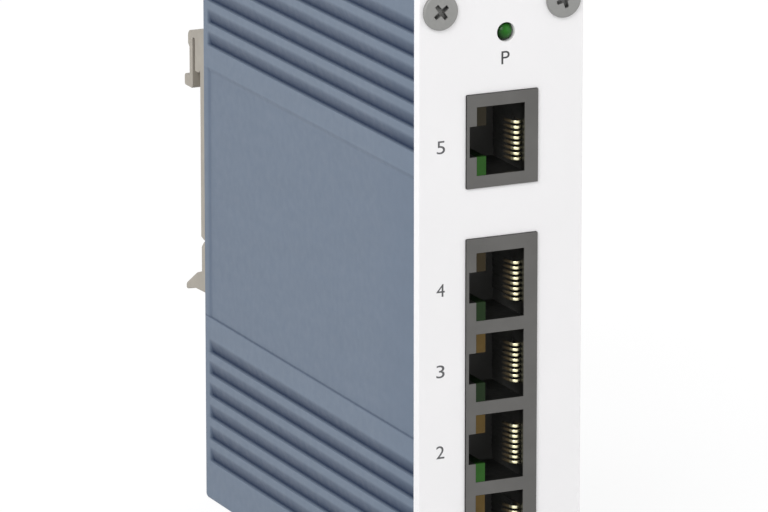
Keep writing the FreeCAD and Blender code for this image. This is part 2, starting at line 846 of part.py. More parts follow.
def din_latch():
    """Sliding foot: tongue in the bracket's pocket, block, and nose with a central catch."""
    near_y = housing_depth + latch_clearance
    high = split_z - split_gap / 2
    tip_y = plate_y + nose_reach
    flat_y = plate_y + nose_flat
    points = [(near_y, latch_base_z), (plate_y - 0.1 * nose_reach, latch_base_z),
              (plate_y + 0.42 * nose_reach, latch_base_z - 0.15),
              (tip_y - 0.3, nose_tip_z - nose_tip), (tip_y, nose_tip_z - nose_tip + 0.3),
              (tip_y, nose_tip_z - 0.2), (tip_y - 0.3, nose_tip_z + 0.1),
              (flat_y, nose_top_z - nose_fall), (plate_y, nose_top_z),
              (plate_y, high - split_chamfer), (plate_y - split_chamfer, high),
              (near_y, high)]
    body = side_profile(points, -clip_half_width, clip_half_width)
    seat = rail_low_z - 0.1
    peak = rail_low_z + catch_rise
    inner = plate_y + catch_gap
    catch = side_profile([(plate_y - 0.5, nose_top_z - 1), (plate_y - 0.5, seat), (inner, seat),
                          (inner + 0.15, peak), (inner + 0.9, peak),
                          (tip_y - 1.0, nose_tip_z + 0.5), (tip_y - 1.0, nose_tip_z - 0.3)],
                         -catch_half_width, catch_half_width)
    tongue = box(-tongue_half_width, tongue_half_width, near_y, near_y + tongue_thickness,
                 high - 1, tongue_top_z)
    tongue = tongue.makeFillet(tongue_round, [e for e in tongue.Edges
                                     if near(e.CenterOfMass.z, tongue_top_z)
                                     and near(abs(e.tangentAt(e.FirstParameter).y), 1)])
    body = body.fuse([catch, tongue])
    window = box(-tongue_window, tongue_window, near_y - 1, near_y + tongue_thickness + 1,
                 window_low_z, window_high_z)
    return body.cut(window)


def latch_spring():
    """Compression spring between the bracket's lug and the latch: a section of few
    sides carried round a helix in straight lengths."""
    low = lug_low_z + lug_height + spring_seat + spring_wire_r
    high = window_high_z - spring_seat - spring_wire_r
    middle_y = housing_depth + pocket_depth / 2
    steps = spring_turns * spring_steps
    sections = []
    for i in range(steps + 1):
        turn = 2 * math.pi * i / spring_steps
        rise = low + (high - low) * i / steps
        points = []
        for j in range(spring_sides + 1):
            t = 2 * math.pi * j / spring_sides
            r = spring_r + spring_wire_r * math.cos(t)
            points.append(V(r * math.cos(turn), middle_y + r * math.sin(turn),
                            rise + spring_wire_r * math.sin(t)))
        sections.append(Part.makePolygon(points))
    return Part.makeLoft(sections, True, True)


# ---------------------------------------------------------------- the assembly
def main():
    os.makedirs("parts", exist_ok=True)
    single = [single_port_z]
    ports = single + gang_ports
    write("housing", [housing()])
    write("front_panel", [front_panel()])
    write("panel_screws", [panel_screw(x, z) for x, z in screw_places])
    write("rj45_single_shell", [socket_shell(single, single_row_drop)])
    write("rj45_gang_shell", [socket_shell(gang_ports, gang_row_drop)])
    write("rj45_single_contacts",
          [contact(z) for z in contact_places(single_port_z, single_row_drop)])
    write("rj45_gang_contacts",
          [contact(z) for port in gang_ports for z in contact_places(port, gang_row_drop)])
    write("rj45_amber_windows", [window_block(z, 1) for z in ports])
    write("rj45_green_windows", [window_block(z, -1) for z in ports])
    write("rj45_single_shield", [socket_shield(single)])
    write("rj45_gang_shield", [socket_shield(gang_ports)])
    write("power_led", [power_led()])
    write("led_holder", [led_holder()])
    write("power_header", [power_header()])
    write("power_header_pins", [header_pin(y) for y in pole_places()])
    write("main_board", [main_board()])
    write("switch_chip", [switch_chip()])
    write("line_transformers", [line_transformer(z) for z in ports])
    write("filter_capacitors", [filter_can(height - z) for z in can_insets_z])
    write("power_inductor", [power_inductor()])
    write("clock_crystal", [clock_crystal()])
    write("voltage_regulator", [voltage_regulator()])
    write("memory_chip", [memory_chip()])
    write("input_fuse", [input_fuse()])
    write("input_choke", [input_choke()])
    write("chip_capacitors", chip_capacitors())
    write("din_bracket", [din_bracket()])
    write("bracket_screws", [bracket_screw(x) for x in (-bracket_screw_x, bracket_screw_x)])
    write("din_latch", [din_latch()])
    write("latch_spring", [latch_spring()])


main()
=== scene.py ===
"""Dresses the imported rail-mounted network switch and sets up its studio.

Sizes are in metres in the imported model's own frame: the socket panel faces -Y, the rail
clip is at +Y and the device stands on Z = 0.
"""
import json
import math

import bmesh
import bpy
import numpy as np
from bpy.props import FloatProperty, FloatVectorProperty, IntProperty, PointerProperty
from mathutils import Matrix, Vector


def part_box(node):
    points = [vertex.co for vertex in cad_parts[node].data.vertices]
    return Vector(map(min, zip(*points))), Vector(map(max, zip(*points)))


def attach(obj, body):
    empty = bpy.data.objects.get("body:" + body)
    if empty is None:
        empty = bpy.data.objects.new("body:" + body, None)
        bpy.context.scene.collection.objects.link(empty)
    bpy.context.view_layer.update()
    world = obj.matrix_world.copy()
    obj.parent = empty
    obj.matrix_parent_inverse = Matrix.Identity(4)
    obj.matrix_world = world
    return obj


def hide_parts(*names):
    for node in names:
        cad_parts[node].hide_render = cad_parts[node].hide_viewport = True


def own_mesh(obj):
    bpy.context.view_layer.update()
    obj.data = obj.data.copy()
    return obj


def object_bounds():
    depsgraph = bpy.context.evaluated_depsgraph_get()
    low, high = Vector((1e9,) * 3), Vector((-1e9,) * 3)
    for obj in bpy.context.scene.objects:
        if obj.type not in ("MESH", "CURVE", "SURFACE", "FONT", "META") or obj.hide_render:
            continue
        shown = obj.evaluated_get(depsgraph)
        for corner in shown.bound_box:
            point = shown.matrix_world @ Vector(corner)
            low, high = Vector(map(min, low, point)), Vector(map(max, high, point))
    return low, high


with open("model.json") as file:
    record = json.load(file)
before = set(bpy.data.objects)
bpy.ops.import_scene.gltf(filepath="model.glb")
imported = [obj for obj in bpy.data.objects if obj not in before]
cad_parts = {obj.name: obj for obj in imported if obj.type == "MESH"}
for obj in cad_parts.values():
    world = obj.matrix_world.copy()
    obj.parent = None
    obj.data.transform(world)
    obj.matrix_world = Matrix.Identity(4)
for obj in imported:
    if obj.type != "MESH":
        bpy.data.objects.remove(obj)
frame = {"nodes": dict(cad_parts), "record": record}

bl_info = {
    "name": "Rail-mounted network switch",
    "version": (1, 0, 0),
    "blender": (4, 5, 0),
    "location": "View3D > Sidebar > Switch",
    "description": "Builds the finished surfaces of a compact five-port switch on its frame",
    "category": "Object",
}

MM = 0.001
CAD_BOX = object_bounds()
HOUSING_LOW, HOUSING_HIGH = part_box("housing")
PANEL_LOW, PANEL_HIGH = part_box("front_panel")
SCREW_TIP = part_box("panel_screws")[1].y
SINGLE_LOW, SINGLE_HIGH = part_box("rj45_single_shell")
GANG_LOW, GANG_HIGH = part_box("rj45_gang_shell")
WIRE_LOW, WIRE_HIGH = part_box("rj45_single_contacts")
BOARD_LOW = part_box("main_board")[0]
LENS_LOW, LENS_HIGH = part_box("power_led")
INLET_LOW, INLET_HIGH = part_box("power_header")
SPRING_LOW, SPRING_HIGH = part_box("latch_spring")
PORT_PITCH = 13.97 * MM
GANG_PORTS = 4
MERGE = 1e-7                    # metres between points that are one
CAD_MERGE = 1e-6                # the same in a copied CAD mesh
FLAT_ANGLE = math.radians(1)    # below which two CAD triangles are one face
SHARP_EDGE = 30.0               # degrees past which an edge is shaded sharp
THIN_SHARP_EDGE = 35.0          # the same on the wires and the indicator's lens
ROUND_SHARP_EDGE = 40.0         # the same on the housing and the panel screws
ROUNDED_EDGE = 40.0             # degrees past which a softened edge is rounded


def length(name, description, millimetres):
    """A size in metres that is given here in millimetres."""
    return FloatProperty(name=name, description=description, default=millimetres * MM,
                         min=0.0, unit="LENGTH", precision=5)


def colour(name, description, rgb):
    """A display colour of three 0 to 255 steps, kept as linear light."""
    share = np.array(rgb) / 255
    linear = np.where(share <= 0.04045, share / 12.92, ((share + 0.055) / 1.055) ** 2.4)
    return FloatVectorProperty(name=name, description=description, subtype="COLOR",
                               size=3, min=0.0, max=1.0, default=linear.tolist())


# ---------------------------------------------------------------- settings
# Lengths are given in millimetres and colours in display steps of 0 to 255.
class HousingSettings(bpy.types.PropertyGroup):
    groove_count: IntProperty(name="Grooves", description="Grooves in a group", default=6)
    groove_pitch: length("Groove pitch", "From groove to groove", 3.985)
    groove_depth: length("Groove depth", "Depth at the deepest line", 0.62)
    groove_step: length("Groove step", "Depth at the foot of the rounded upper edge", 0.1)
    groove_lip: length("Groove lip", "Height of the rounded upper edge", 0.6)
    groove_above: length("Groove above", "Upper edge above the deepest line", 2.55)
    groove_below: length("Groove below", "Lower edge below the deepest line", 0.14)
    groove_root: length("Groove root", "Height of the flat at the deepest line", 0.12)
    groove_low: length("Lowest groove", "Lowest deepest line above the base", 7.275)
    groove_top: length("Highest groove", "Highest deepest line below the top", 10.025)
    groove_stop: length("Groove stop", "Plain strip before the back face", 2.15)
    recess_low: length("Recess gap below", "Recess above the lower group", 6.37)
    recess_high: length("Recess gap above", "Recess below the upper group", 4.1)
    recess_depth: length("Recess depth", "Depth of the plain recess", 0.3)
    recess_draft: length("Recess draft", "Height over which its upper edge runs out", 0.8)
    soften: length("Soften", "Half width of the rounding of moulded edges", 0.08)
    wall: length("Wall", "Wall thickness", 2.4)
    window_gap: length("Window gap", "Gap round the power inlet in the top wall", 0.15)
    side_round: length("Side rounding", "Radius of the edges round each side wall", 0.4)
    back_corner: length("Back corner", "Radius of the back's top and bottom edges", 1.0)
    plastic: colour("Plastic", "Blue-grey moulded plastic", (108, 120, 136))
    # Painted shade that the grooves and the recess's edges are blended towards
    shade: colour("Shaded plastic", "Plastic where painted shade darkens the grooves", (40, 54, 78))


class PanelSettings(bpy.types.PropertyGroup):
    corner: length("Corner", "Corner radius", 0.8)
    edge: length("Edge", "Rounding of the plate's edges", 0.12)
    gap: length("Gap", "Gap round a socket body", 0.02)
    cut_corner: length("Cut-out corner", "Corner radius of a cut-out", 0.15)
    screw_hole: length("Screw hole", "Radius of a screw hole", 1.65)
    lens_hole: length("Lens hole", "Radius of the indicator's hole", 1.62)
    lens_aside: length("Lens aside", "Indicator left of its CAD node's middle", 0.1)
    lens_rise: length("Lens rise", "Indicator above its CAD node's middle", 0.06)
    screw_inset: length("Screw inset", "Screw axis from the side", 3.75)
    screw_inset_z: length("Screw height inset", "Screw axis from top and base", 6.2)
    paint: colour("Paint", "White paint", (238, 237, 238))
    ink: colour("Ink", "Printed port number", (92, 92, 94))
    dark_ink: colour("Dark ink", "Printed letter of the indicator", (66, 66, 68))
    mark_inset: length("Number inset", "Middle of the numbers from the panel's edge", 4.0)
    mark_height: length("Mark height", "Height of a printed mark", 2.2)
    mark_width: length("Mark width", "Width of a printed mark", 1.5)
    one_width: length("Width of the 1", "Width of the narrow number", 0.6)
    mark_rise: length("Number rise", "Numbers 1 to 4 above their ports' middles", 0.1)
    top_mark_drop: length("Top number drop", "Number 5 below its port's middle", 0.4)
    letter_drop: length("Letter drop", "Letter below the indicator's middle", 4.31)
    letter_aside: length("Letter aside", "Letter left of the indicator's middle", 0.1)
    ink_height: length("Ink", "Half thickness of the printed ink", 0.008)


class ScrewSettings(bpy.types.PropertyGroup):
    head: length("Head radius", "Radius of the pan head", 3.1)
    height: length("Head height", "Height of the pan head", 0.75)
    crown: length("Crown", "Rise of the head's face from rim to middle", 0.12)
    shoulder: length("Shoulder", "Rounding of the head's rim", 0.35)
    shank: length("Shank radius", "Radius of the thread's crest", 1.5)
    thread: length("Thread pitch", "Rise of the thread in a turn", 0.5)
    arm: length("Recess arm", "Half length of the cross recess", 1.48)
    slot: length("Recess width", "Width of the recess at its ends", 0.7)
    deep: length("Recess depth", "Depth of the recess", 1.1)
    zinc: colour("Zinc", "Matt zinc plate", (142, 142, 140))
    # Painted shade deep in the cross recess, darkest at the arms' ends
    recess_shade: colour("Recess shade", "Dark bottom of the recess", (22, 22, 21))
    turns: FloatVectorProperty(name="Turns", size=4, unit="ROTATION",
                               description="How far each screw is turned",
                               default=tuple(math.radians(a) for a in (76, 38, 51, 18)))


class SocketSettings(bpy.types.PropertyGroup):
    edge: length("Edge", "Rounding of the moulded edges", 0.07)
    body: colour("Body", "Dark grey socket plastic", (93, 92, 90))
    # Mouth, Inside and Back are painted shade in the cavity: nearly black behind the opening,
    # lighter further in, lightest on the back walls where it evens out their shadows
    mouth_shade: colour("Mouth", "Socket plastic just inside the opening", (20, 20, 19))
    inside: colour("Inside", "Socket plastic further inside", (42, 42, 41))
    back: colour("Back", "Socket plastic of the back wall and the wires' wall", (82, 82, 80))
    # Painted light: each port's guide is mixed from its darker colour to its own by the share
    # below
    amber: colour("Amber window", "Unlit amber light guide", (84, 67, 34))
    amber_shaded: colour("Dull amber", "Amber guide that picks up no light", (40, 36, 26))
    green: colour("Green window", "Unlit green light guide", (42, 84, 31))
    green_shaded: colour("Dull green", "Green guide that picks up no light", (27, 40, 23))
    amber_ports: FloatVectorProperty(name="Amber by port", size=5, min=0.0, max=1.0,
                                     description="Light that each amber guide picks up, "
                                     "highest port first", default=(0, 0.15, 0.95, 1, 1))
    green_ports: FloatVectorProperty(name="Green by port", size=5, min=0.0, max=1.0,
                                     description="Light that each green guide picks up, "
                                     "highest port first", default=(0.9, 0.1, 0.05, 1, 1))


class WireSettings(bpy.types.PropertyGroup):
    wires: IntProperty(name="Wires", description="Contact wires in a port", default=8)
    pitch: length("Pitch", "From wire to wire", 0.9)
    drops: FloatVectorProperty(name="Row drops", size=5, unit="LENGTH",
                               description="Each row below the middle of its opening, "
                               "highest port first",
                               default=tuple(d * MM for d in (0.93, 0.14, 0.31, 0.5, 0.7)))
    width: length("Width", "Width of a wire", 0.46)
    thickness: length("Thickness", "Thickness of a wire", 0.3)
    bed: length("Bed", "Floor run from the board", 2.1)
    bend: length("Bend", "Radius of the front bend", 0.85)
    knee: length("Knee", "Radius of the bend into the pin", 0.35)
    leg: length("Leg", "Length of the slanted leg", 2.2)
    comb: length("Comb", "Start of the slots' cover behind the wires' front", 3.2)
    slant: FloatProperty(name="Slant", description="Slope of the leg", subtype="ANGLE",
                         default=math.radians(13))
    gold: colour("Gold", "Plated contact wire", (255, 247, 206))
    # Painted shade on the wire behind its bright bend
    leg_shade: colour("Leg", "Wire behind its bright bend", (110, 96, 70))


class LensSettings(bpy.types.PropertyGroup):
    flange: length("Flange", "Thickness of the flange", 1.0)
    nose: length("Lens radius", "Radius of the lens in front of its flange", 1.59)
    seat: length("Dome seat", "Base of the dome behind the panel's face", 1.5)
    proud: length("Dome tip", "Tip of the dome in front of the panel's face", 0.15)
    cup: length("Cup", "Radius of the reflector cup", 0.95)
    cup_deep: length("Cup depth", "Depth of the reflector cup", 1.3)
    trim: length("Trim", "Bevel of the flange and rise of the cup's floor", 0.1)
    # Chip, Glow and Glow's end place a painted highlight where the lens would show its chip
    chip: length("Chip", "Bright point beside and above the axis", 0.4)
    glow: length("Glow", "Radius of the chip's full glow", 0.5)
    glow_end: length("Glow's end", "Radius at which the glow has faded", 1.9875)
    green: colour("Lens", "Green lens", (25, 100, 12))


class InletSettings(bpy.types.PropertyGroup):
    edge: length("Edge", "Rounding of the moulded edges", 0.15)
    green: colour("Moulding", "Green plug header", (52, 122, 62))
    pin_edge: length("Pin edge", "Bevel of the pins' edges", 0.12)
    tin: colour("Tin", "Tinned pins", (206, 206, 202))


class ClipSettings(bpy.types.PropertyGroup):
    edge: length("Edge", "Rounding of the moulded edges", 0.3)
    wire: length("Wire radius", "Radius of the spring wire", 0.18)
    turns: IntProperty(name="Turns", description="Turns of the spring", default=8)
    nylon: colour("Nylon", "Beige nylon", (156, 150, 140))
    travel: length("Travel", "How far the latch slides down", 3.0)


class StageSettings(bpy.types.PropertyGroup):
    azimuth: FloatProperty(name="Azimuth", description="Camera's turn to the device's left",
                           subtype="ANGLE", default=math.radians(24.88))
    elevation: FloatProperty(name="Elevation", description="Camera's height angle",
                             subtype="ANGLE", default=math.radians(14.956))
    distance: length("Distance", "Camera to its aim", 1223.3)
    aim_x: FloatProperty(name="Aim across", description="Aim from the panel's middle",
                         default=-21.33 * MM, unit="LENGTH")
    aim_z: length("Aim height", "Aim above the base", 66.5)
    lens: FloatProperty(name="Lens", description="Focal length", default=348.06,
                        unit="CAMERA")
    floor: colour("Floor", "Pale studio floor", (240, 240, 240))


# ---------------------------------------------------------------- mesh helpers
def tube(points):
    """Points and quads of a grid of points whose last column joins its first: the cell
    (i, j) has the points (i, j), (i, j + 1), (i + 1, j + 1) and (i + 1, j)."""
    rows, columns = points.shape[:2]
    i = np.arange(rows - 1)[:, None] * columns
    j = np.arange(columns)[None, :]
    after = (j + 1) % columns
    corners = np.broadcast_arrays(i + j, i + after, i + columns + after, i + columns + j)
    return points.reshape(-1, 3), np.stack(corners, axis=-1).reshape(-1, 4)


def joined(parts):
    """Points and quads of several surfaces laid end to end."""
    offsets = np.cumsum([0] + [len(points) for points, _ in parts[:-1]])
    points = np.concatenate([points for points, _ in parts])
    return points, np.concatenate([quads + o for (_, quads), o in zip(parts, offsets)])


def finish_mesh(mesh, sharp=SHARP_EDGE, copied=False):
    """Doubles merged, normals turned outwards, and smooth shading up to the sharp angle.
    A copied CAD mesh also gets its flat triangles joined."""
    work = bmesh.new()
    work.from_mesh(mesh)
    if copied:
        bmesh.ops.remove_doubles(work, verts=work.verts, dist=CAD_MERGE)
        bmesh.ops.dissolve_limit(work, angle_limit=FLAT_ANGLE, verts=work.verts,
                                 edges=work.edges)
    else:
        bmesh.ops.remove_doubles(work, verts=work.verts, dist=MERGE)
        bmesh.ops.dissolve_degenerate(work, edges=work.edges, dist=MERGE)
    bmesh.ops.recalc_face_normals(work, faces=work.faces)
    work.to_mesh(mesh)
    work.free()
    mesh.shade_smooth()
    mesh.set_sharp_from_angle(angle=math.radians(sharp))


def mesh_of(name, data):
    """Mesh of a curve or of a text, which is then removed."""
    holder = bpy.data.objects.new(name, data)
    bpy.context.scene.collection.objects.link(holder)
    bpy.context.view_layer.update()
    mesh = bpy.data.meshes.new_from_object(holder.evaluated_get(
        bpy.context.evaluated_depsgraph_get()))
    bpy.data.objects.remove(holder)
    bpy.data.curves.remove(data)
    return mesh


def point_places(mesh):
    """X, Y and Z of a mesh's points, as three arrays."""
    places = np.zeros(len(mesh.vertices) * 3)
    mesh.vertices.foreach_get("co", places)
    return places.reshape(-1, 3).T


def note_points(mesh, name, values):
    """A number for each point of a mesh, which its material reads by this name."""
    layer = mesh.attributes.new(name, "FLOAT", "POINT")
    layer.data.foreach_set("value", np.asarray(values, np.float32))


def piece(name, mesh, material, body, slot, *nodes):
    """A finished piece: its object rides on a body and stands for CAD nodes."""
    mesh.name = name
    thing = bpy.data.objects.new(name, mesh)
    bpy.context.scene.collection.objects.link(thing)
    mesh.materials.clear()
    mesh.materials.append(material)
    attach(thing, body)
    if nodes:
        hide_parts(*nodes)
    return thing


def surface(points, quads, sharp=SHARP_EDGE):
    """Mesh of an array of points and an array of quads."""
    mesh = bpy.data.meshes.new("surface")
    mesh.from_pydata(points.reshape(-1, 3).tolist(), [], quads.tolist())
    finish_mesh(mesh, sharp)
    return mesh


def softened(node, edge, name, material, body, slot):
    """A merged copy of a CAD node whose sharp edges get a small rounding."""
    mesh = frame["nodes"][node].data.copy()
    finish_mesh(mesh, copied=True)
    thing = piece(name, mesh, material, body, slot, node)
    bevel = thing.modifiers.new("edges", "BEVEL")
    bevel.width = edge
    bevel.segments = 2
    bevel.limit_method = "ANGLE"
    bevel.angle_limit = math.radians(ROUNDED_EDGE)
    bevel.harden_normals = True
    return thing


def lathe(profile, middle, steps=64):
    """Surface of revolution about the line along Y through middle: the point at angle t
    is middle + (r cos t, y, r sin t) for each (r, y) of the profile."""
    t = np.linspace(0, 2 * math.pi, steps, endpoint=False)[None, :]
    r, y = profile[:, 0:1], profile[:, 1:2]
    return tube(np.stack([middle[0] + r * np.cos(t), middle[1] + y + 0 * t,
                          middle[2] + r * np.sin(t)], axis=-1))


def arc(centre, radius, start, end, steps):
    """Points of a circular arc in a plane, from one angle to another in degrees."""
    t = np.radians(np.linspace(start, end, steps))
    return np.stack([centre[0] + radius * np.cos(t), centre[1] + radius * np.sin(t)], -1)


def port_heights():
    """Middle height of each port, highest first."""
    low = (GANG_LOW.z + GANG_HIGH.z - (GANG_PORTS - 1) * PORT_PITCH) / 2
    gang = [low + i * PORT_PITCH for i in reversed(range(GANG_PORTS))]
    return [(SINGLE_LOW.z + SINGLE_HIGH.z) / 2] + gang


# ---------------------------------------------------------------- finishes
NOISE_SPAN = (0.3, 0.7)          # where nearly all of a fractal noise's values lie
INNER_PLASTICS = {
    # Slot: name, linear colour, roughness, drift of tone
    "black_moulding": ("black moulding", (0.02, 0.02, 0.02), 0.45, 0.15),
    "chip_black": ("chip epoxy", (0.018, 0.018, 0.02), 0.5, 0.2),
    "ferrite": ("ferrite", (0.035, 0.034, 0.033), 0.6, 0.25),
    "ceramic": ("ceramic", (0.42, 0.33, 0.22), 0.5, 0.12),
}
INNER_METALS = {
    # Slot: name, linear colour, metallic share, roughness
    "tinplate": ("tinplate", (0.62, 0.62, 0.6), 1.0, 0.3),
    "can_aluminium": ("can aluminium", (0.6, 0.6, 0.62), 1.0, 0.35),
    "can_steel": ("can steel", (0.56, 0.56, 0.54), 1.0, 0.28),
    "screw_zinc": ("bracket screw zinc", (0.5, 0.5, 0.48), 1.0, 0.32),
}
# Linear colours: solder mask, where it is thinner and over a track; painted shade far down
# a wire
BOARD_MASK = (0.012, 0.105, 0.035)
BOARD_MASK_LIGHT = (0.016, 0.13, 0.045, 1.0)
BOARD_TRACK = (0.03, 0.19, 0.07, 1.0)
WIRE_FAR_SHADE = (0.05, 0.046, 0.04)
GUIDE_SHADE = 0.06               # painted shade behind a light guide's face, in shares of its colour
LENS_SHADE = 0.14                # painted shade deep in the lens, in shares of its own colour


class Finish:
    """A node material with one Principled surface that reads Object coordinates."""

    def __init__(self, name, base, roughness, **sockets):
        self.material = bpy.data.materials.new(name)
        self.material.use_nodes = True
        self.nodes = self.material.node_tree.nodes
        self.links = self.material.node_tree.links
        self.shader = self.nodes["Principled BSDF"]
        self.shader.inputs["Base Color"].default_value = (*base, 1.0)
        self.shader.inputs["Roughness"].default_value = roughness
        for socket, value in sockets.items():
            self.shader.inputs[socket.replace("_", " ")].default_value = value
        self.place = self.nodes.new("ShaderNodeTexCoord").outputs["Object"]

    def noise(self, scale, detail=3.0, stretch=(1.0, 1.0, 1.0)):
        """Fractal noise of a given number of cells in a metre."""
        mapping = self.nodes.new("ShaderNodeMapping")
        mapping.inputs["Scale"].default_value = stretch
        noise = self.nodes.new("ShaderNodeTexNoise")
        noise.inputs["Scale"].default_value = scale
        noise.inputs["Detail"].default_value = detail
        self.links.new(self.place, mapping.inputs["Vector"])
        self.links.new(mapping.outputs["Vector"], noise.inputs["Vector"])
        return noise.outputs["Fac"]

    def range(self, value, low, high, start=0.0, end=1.0):
        """A value between start and end mapped to low and high."""
        node = self.nodes.new("ShaderNodeMapRange")
        node.inputs["From Min"].default_value = start
        node.inputs["From Max"].default_value = end
        node.inputs["To Min"].default_value = low
        node.inputs["To Max"].default_value = high
        self.links.new(value, node.inputs["Value"])
        return node.outputs["Result"]

    def blend(self, factor, first, second):
        """First colour at 0 and second at 1; either may be another node's output."""
        node = self.nodes.new("ShaderNodeMix")
        node.data_type = "RGBA"
        self.links.new(factor, node.inputs["Factor"])
        for socket, value in ((node.inputs[6], first), (node.inputs[7], second)):
            if isinstance(value, bpy.types.NodeSocket):
                self.links.new(value, socket)
            else:
                socket.default_value = (*value, 1.0)
        return node.outputs[2]

    def paint(self, result):
        """Base colour from a node's output."""
        self.links.new(result, self.shader.inputs["Base Color"])
        return self

    def mottle(self, base, amount, scale, stretch=(1.0, 1.0, 1.0)):
        """Base colour that drifts a little lighter and darker over the surface."""
        light = tuple(min(1.0, c * (1 + amount)) for c in base)
        dark = tuple(c * (1 - amount) for c in base)
        cloud = self.noise(scale, detail=4.0, stretch=stretch)
        return self.blend(self.range(cloud, 0, 1, *NOISE_SPAN), dark, light)

    def gloss(self, low, high, scale):
        """Roughness that varies with a noise."""
        self.links.new(self.range(self.noise(scale), low, high, *NOISE_SPAN),
                       self.shader.inputs["Roughness"])
        return self

    def grain(self, scale, height):
        """Fine bump of a given height in metres."""
        bump = self.nodes.new("ShaderNodeBump")
        bump.inputs["Strength"].default_value = 1.0
        bump.inputs["Distance"].default_value = height
        self.links.new(self.noise(scale, detail=2.0), bump.inputs["Height"])
        self.links.new(bump.outputs["Normal"], self.shader.inputs["Normal"])
        return self

    def along(self, axis, origin, start, end):
        """0 to 1 between two places on one axis, in millimetres from an origin on it."""
        split = self.nodes.new("ShaderNodeSeparateXYZ")
        self.links.new(self.place, split.inputs["Vector"])
        return self.range(split.outputs[axis], 0, 1, origin + start * MM, origin + end * MM)

    def attribute(self, name):
        """A number that the mesh holds at its points."""
        node = self.nodes.new("ShaderNodeAttribute")
        node.attribute_name = name
        return node.outputs["Fac"]


def moulded_plastic(name, base, roughness=0.5, amount=0.04):
    """Spark-eroded plastic: a faint drift of colour, fine grain, uneven gloss."""
    done = Finish(name, base, roughness, Specular_IOR_Level=0.4)
    done.paint(done.mottle(base, amount, scale=160.0))
    done.gloss(roughness - 0.06, roughness + 0.06, scale=900.0)
    return done.grain(scale=5200.0, height=0.01 * MM).material


def housing_plastic(settings):
    """Blue-grey plastic with a cool drift of tone, blended towards painted shade in the
    grooves and along the recess.
    """
    base, shade = settings.plastic, settings.shade
    done = Finish("housing plastic", base, roughness=0.55, Specular_IOR_Level=0.2)
    drift = done.mottle(base, amount=0.02, scale=260.0, stretch=(1.0, 0.25, 1.3))
    # Blended towards painted shade by the mesh's groove numbers
    done.paint(done.blend(done.attribute("groove"), drift, shade))
    done.gloss(low=0.48, high=0.62, scale=600.0)
    return done.grain(scale=4200.0, height=0.012 * MM).material


def panel_paint(settings):
    """White paint with a slight orange peel."""
    base = settings.paint
    done = Finish("panel paint", base, roughness=0.45, Specular_IOR_Level=0.3)
    done.paint(done.mottle(base, amount=0.012, scale=40.0))
    done.gloss(low=0.4, high=0.52, scale=500.0)
    return done.grain(scale=900.0, height=0.006 * MM).material


def legend_ink(name, base):
    """Screen-printed ink, thinner in places."""
    done = Finish(name, base, roughness=0.6, Specular_IOR_Level=0.3)
    return done.paint(done.mottle(base, amount=0.12, scale=2500.0)).material


def plated_metal(name, base, metallic, roughness, drift=0.05, recess_shade=None):
    """Plated metal: clouded tone, uneven gloss, faint marks, and painted shade where the mesh
    says so."""
    done = Finish(name, base, roughness, Metallic=metallic)
    clouded = done.mottle(base, drift, scale=700.0)
    if recess_shade is not None:
        clouded = done.blend(done.attribute("recess_shade"), clouded, recess_shade)
    done.paint(clouded)
    done.gloss(roughness - 0.08, roughness + 0.08, scale=1500.0)
    return done.grain(scale=3000.0, height=0.004 * MM).material


def socket_plastic(settings):
    """Dark grey socket body, with painted shade in the cavity: nearly black just behind the
    opening, paler further in, and palest on the cavity's back wall and on the wall behind the
    wires, where it evens out their shadows."""
    base = settings.body
    done = Finish("socket plastic", base, roughness=0.42, Specular_IOR_Level=0.35)
    front = SINGLE_LOW.y
    # Painted shade in the cavity, palest on the back walls where it evens out their shadows
    ring = done.along("Y", front, start=0.05, end=0.35)
    deep = done.along("Y", front, start=1.0, end=6.0)
    wall = done.along("Y", front, start=11.2, end=11.9)
    side = done.along("X", BOARD_LOW.x, start=-2.7, end=-2.5)
    far = done.blend(side, settings.inside, settings.back)
    far = done.blend(wall, far, settings.back)
    cavity = done.blend(deep, settings.mouth_shade, far)
    done.paint(done.blend(ring, done.mottle(base, amount=0.08, scale=170.0), cavity))
    done.gloss(low=0.36, high=0.5, scale=800.0)
    return done.grain(scale=4000.0, height=0.006 * MM).material


def contact_gold(settings):
    """Gold-plated wire, bright on the front bend, with painted shade behind it: brown at first
    and dark grey far down the leg."""
    base = settings.gold
    done = Finish("contact gold", base, roughness=0.3, Metallic=1.0)
    bend = done.along("Y", WIRE_LOW.y, start=0.45, end=1.1)
    far = done.along("Y", WIRE_LOW.y, start=1.1, end=3.0)
    leg = done.blend(far, settings.leg_shade, WIRE_FAR_SHADE)
    done.paint(done.blend(bend, done.mottle(base, amount=0.03, scale=1800.0), leg))
    done.links.new(done.range(bend, low=1.0, high=0.2), done.shader.inputs["Metallic"])
    return done.gloss(low=0.3, high=0.42, scale=2200.0).material


def light_guide(name, base, shaded):
    """Tinted clear plastic seen unlit, with painted light that differs from port to port, from
    its darker colour to its own, and painted shade behind its front face."""
    done = Finish(name, base, roughness=0.4, Specular_IOR_Level=0.1)
    dark = tuple(c * GUIDE_SHADE for c in base)
    lit = done.mottle(base, amount=0.12, scale=260.0)
    front = done.blend(done.attribute("painted_light"), shaded, lit)
    depth = done.along("Y", SINGLE_LOW.y, start=0.1, end=0.9)
    done.paint(done.blend(depth, front, dark))
    return done.gloss(low=0.34, high=0.46, scale=700.0).material


def lens_plastic(settings):
    """Green epoxy lens: a painted highlight where it would magnify its chip, and painted shade
    round it and deep in its hole.
    """
    base = settings.green
    done = Finish("lens epoxy", base, roughness=0.3, Specular_IOR_Level=0.25)
    deep = tuple(c * LENS_SHADE for c in base)
    rise = done.along("Y", PANEL_LOW.y, start=0.1, end=1.4)
    lit = done.mottle(base, amount=0.12, scale=900.0)
    done.paint(done.blend(rise, done.blend(done.attribute("painted_highlight"), deep, lit), deep))
    return done.gloss(low=0.24, high=0.36, scale=900.0).material


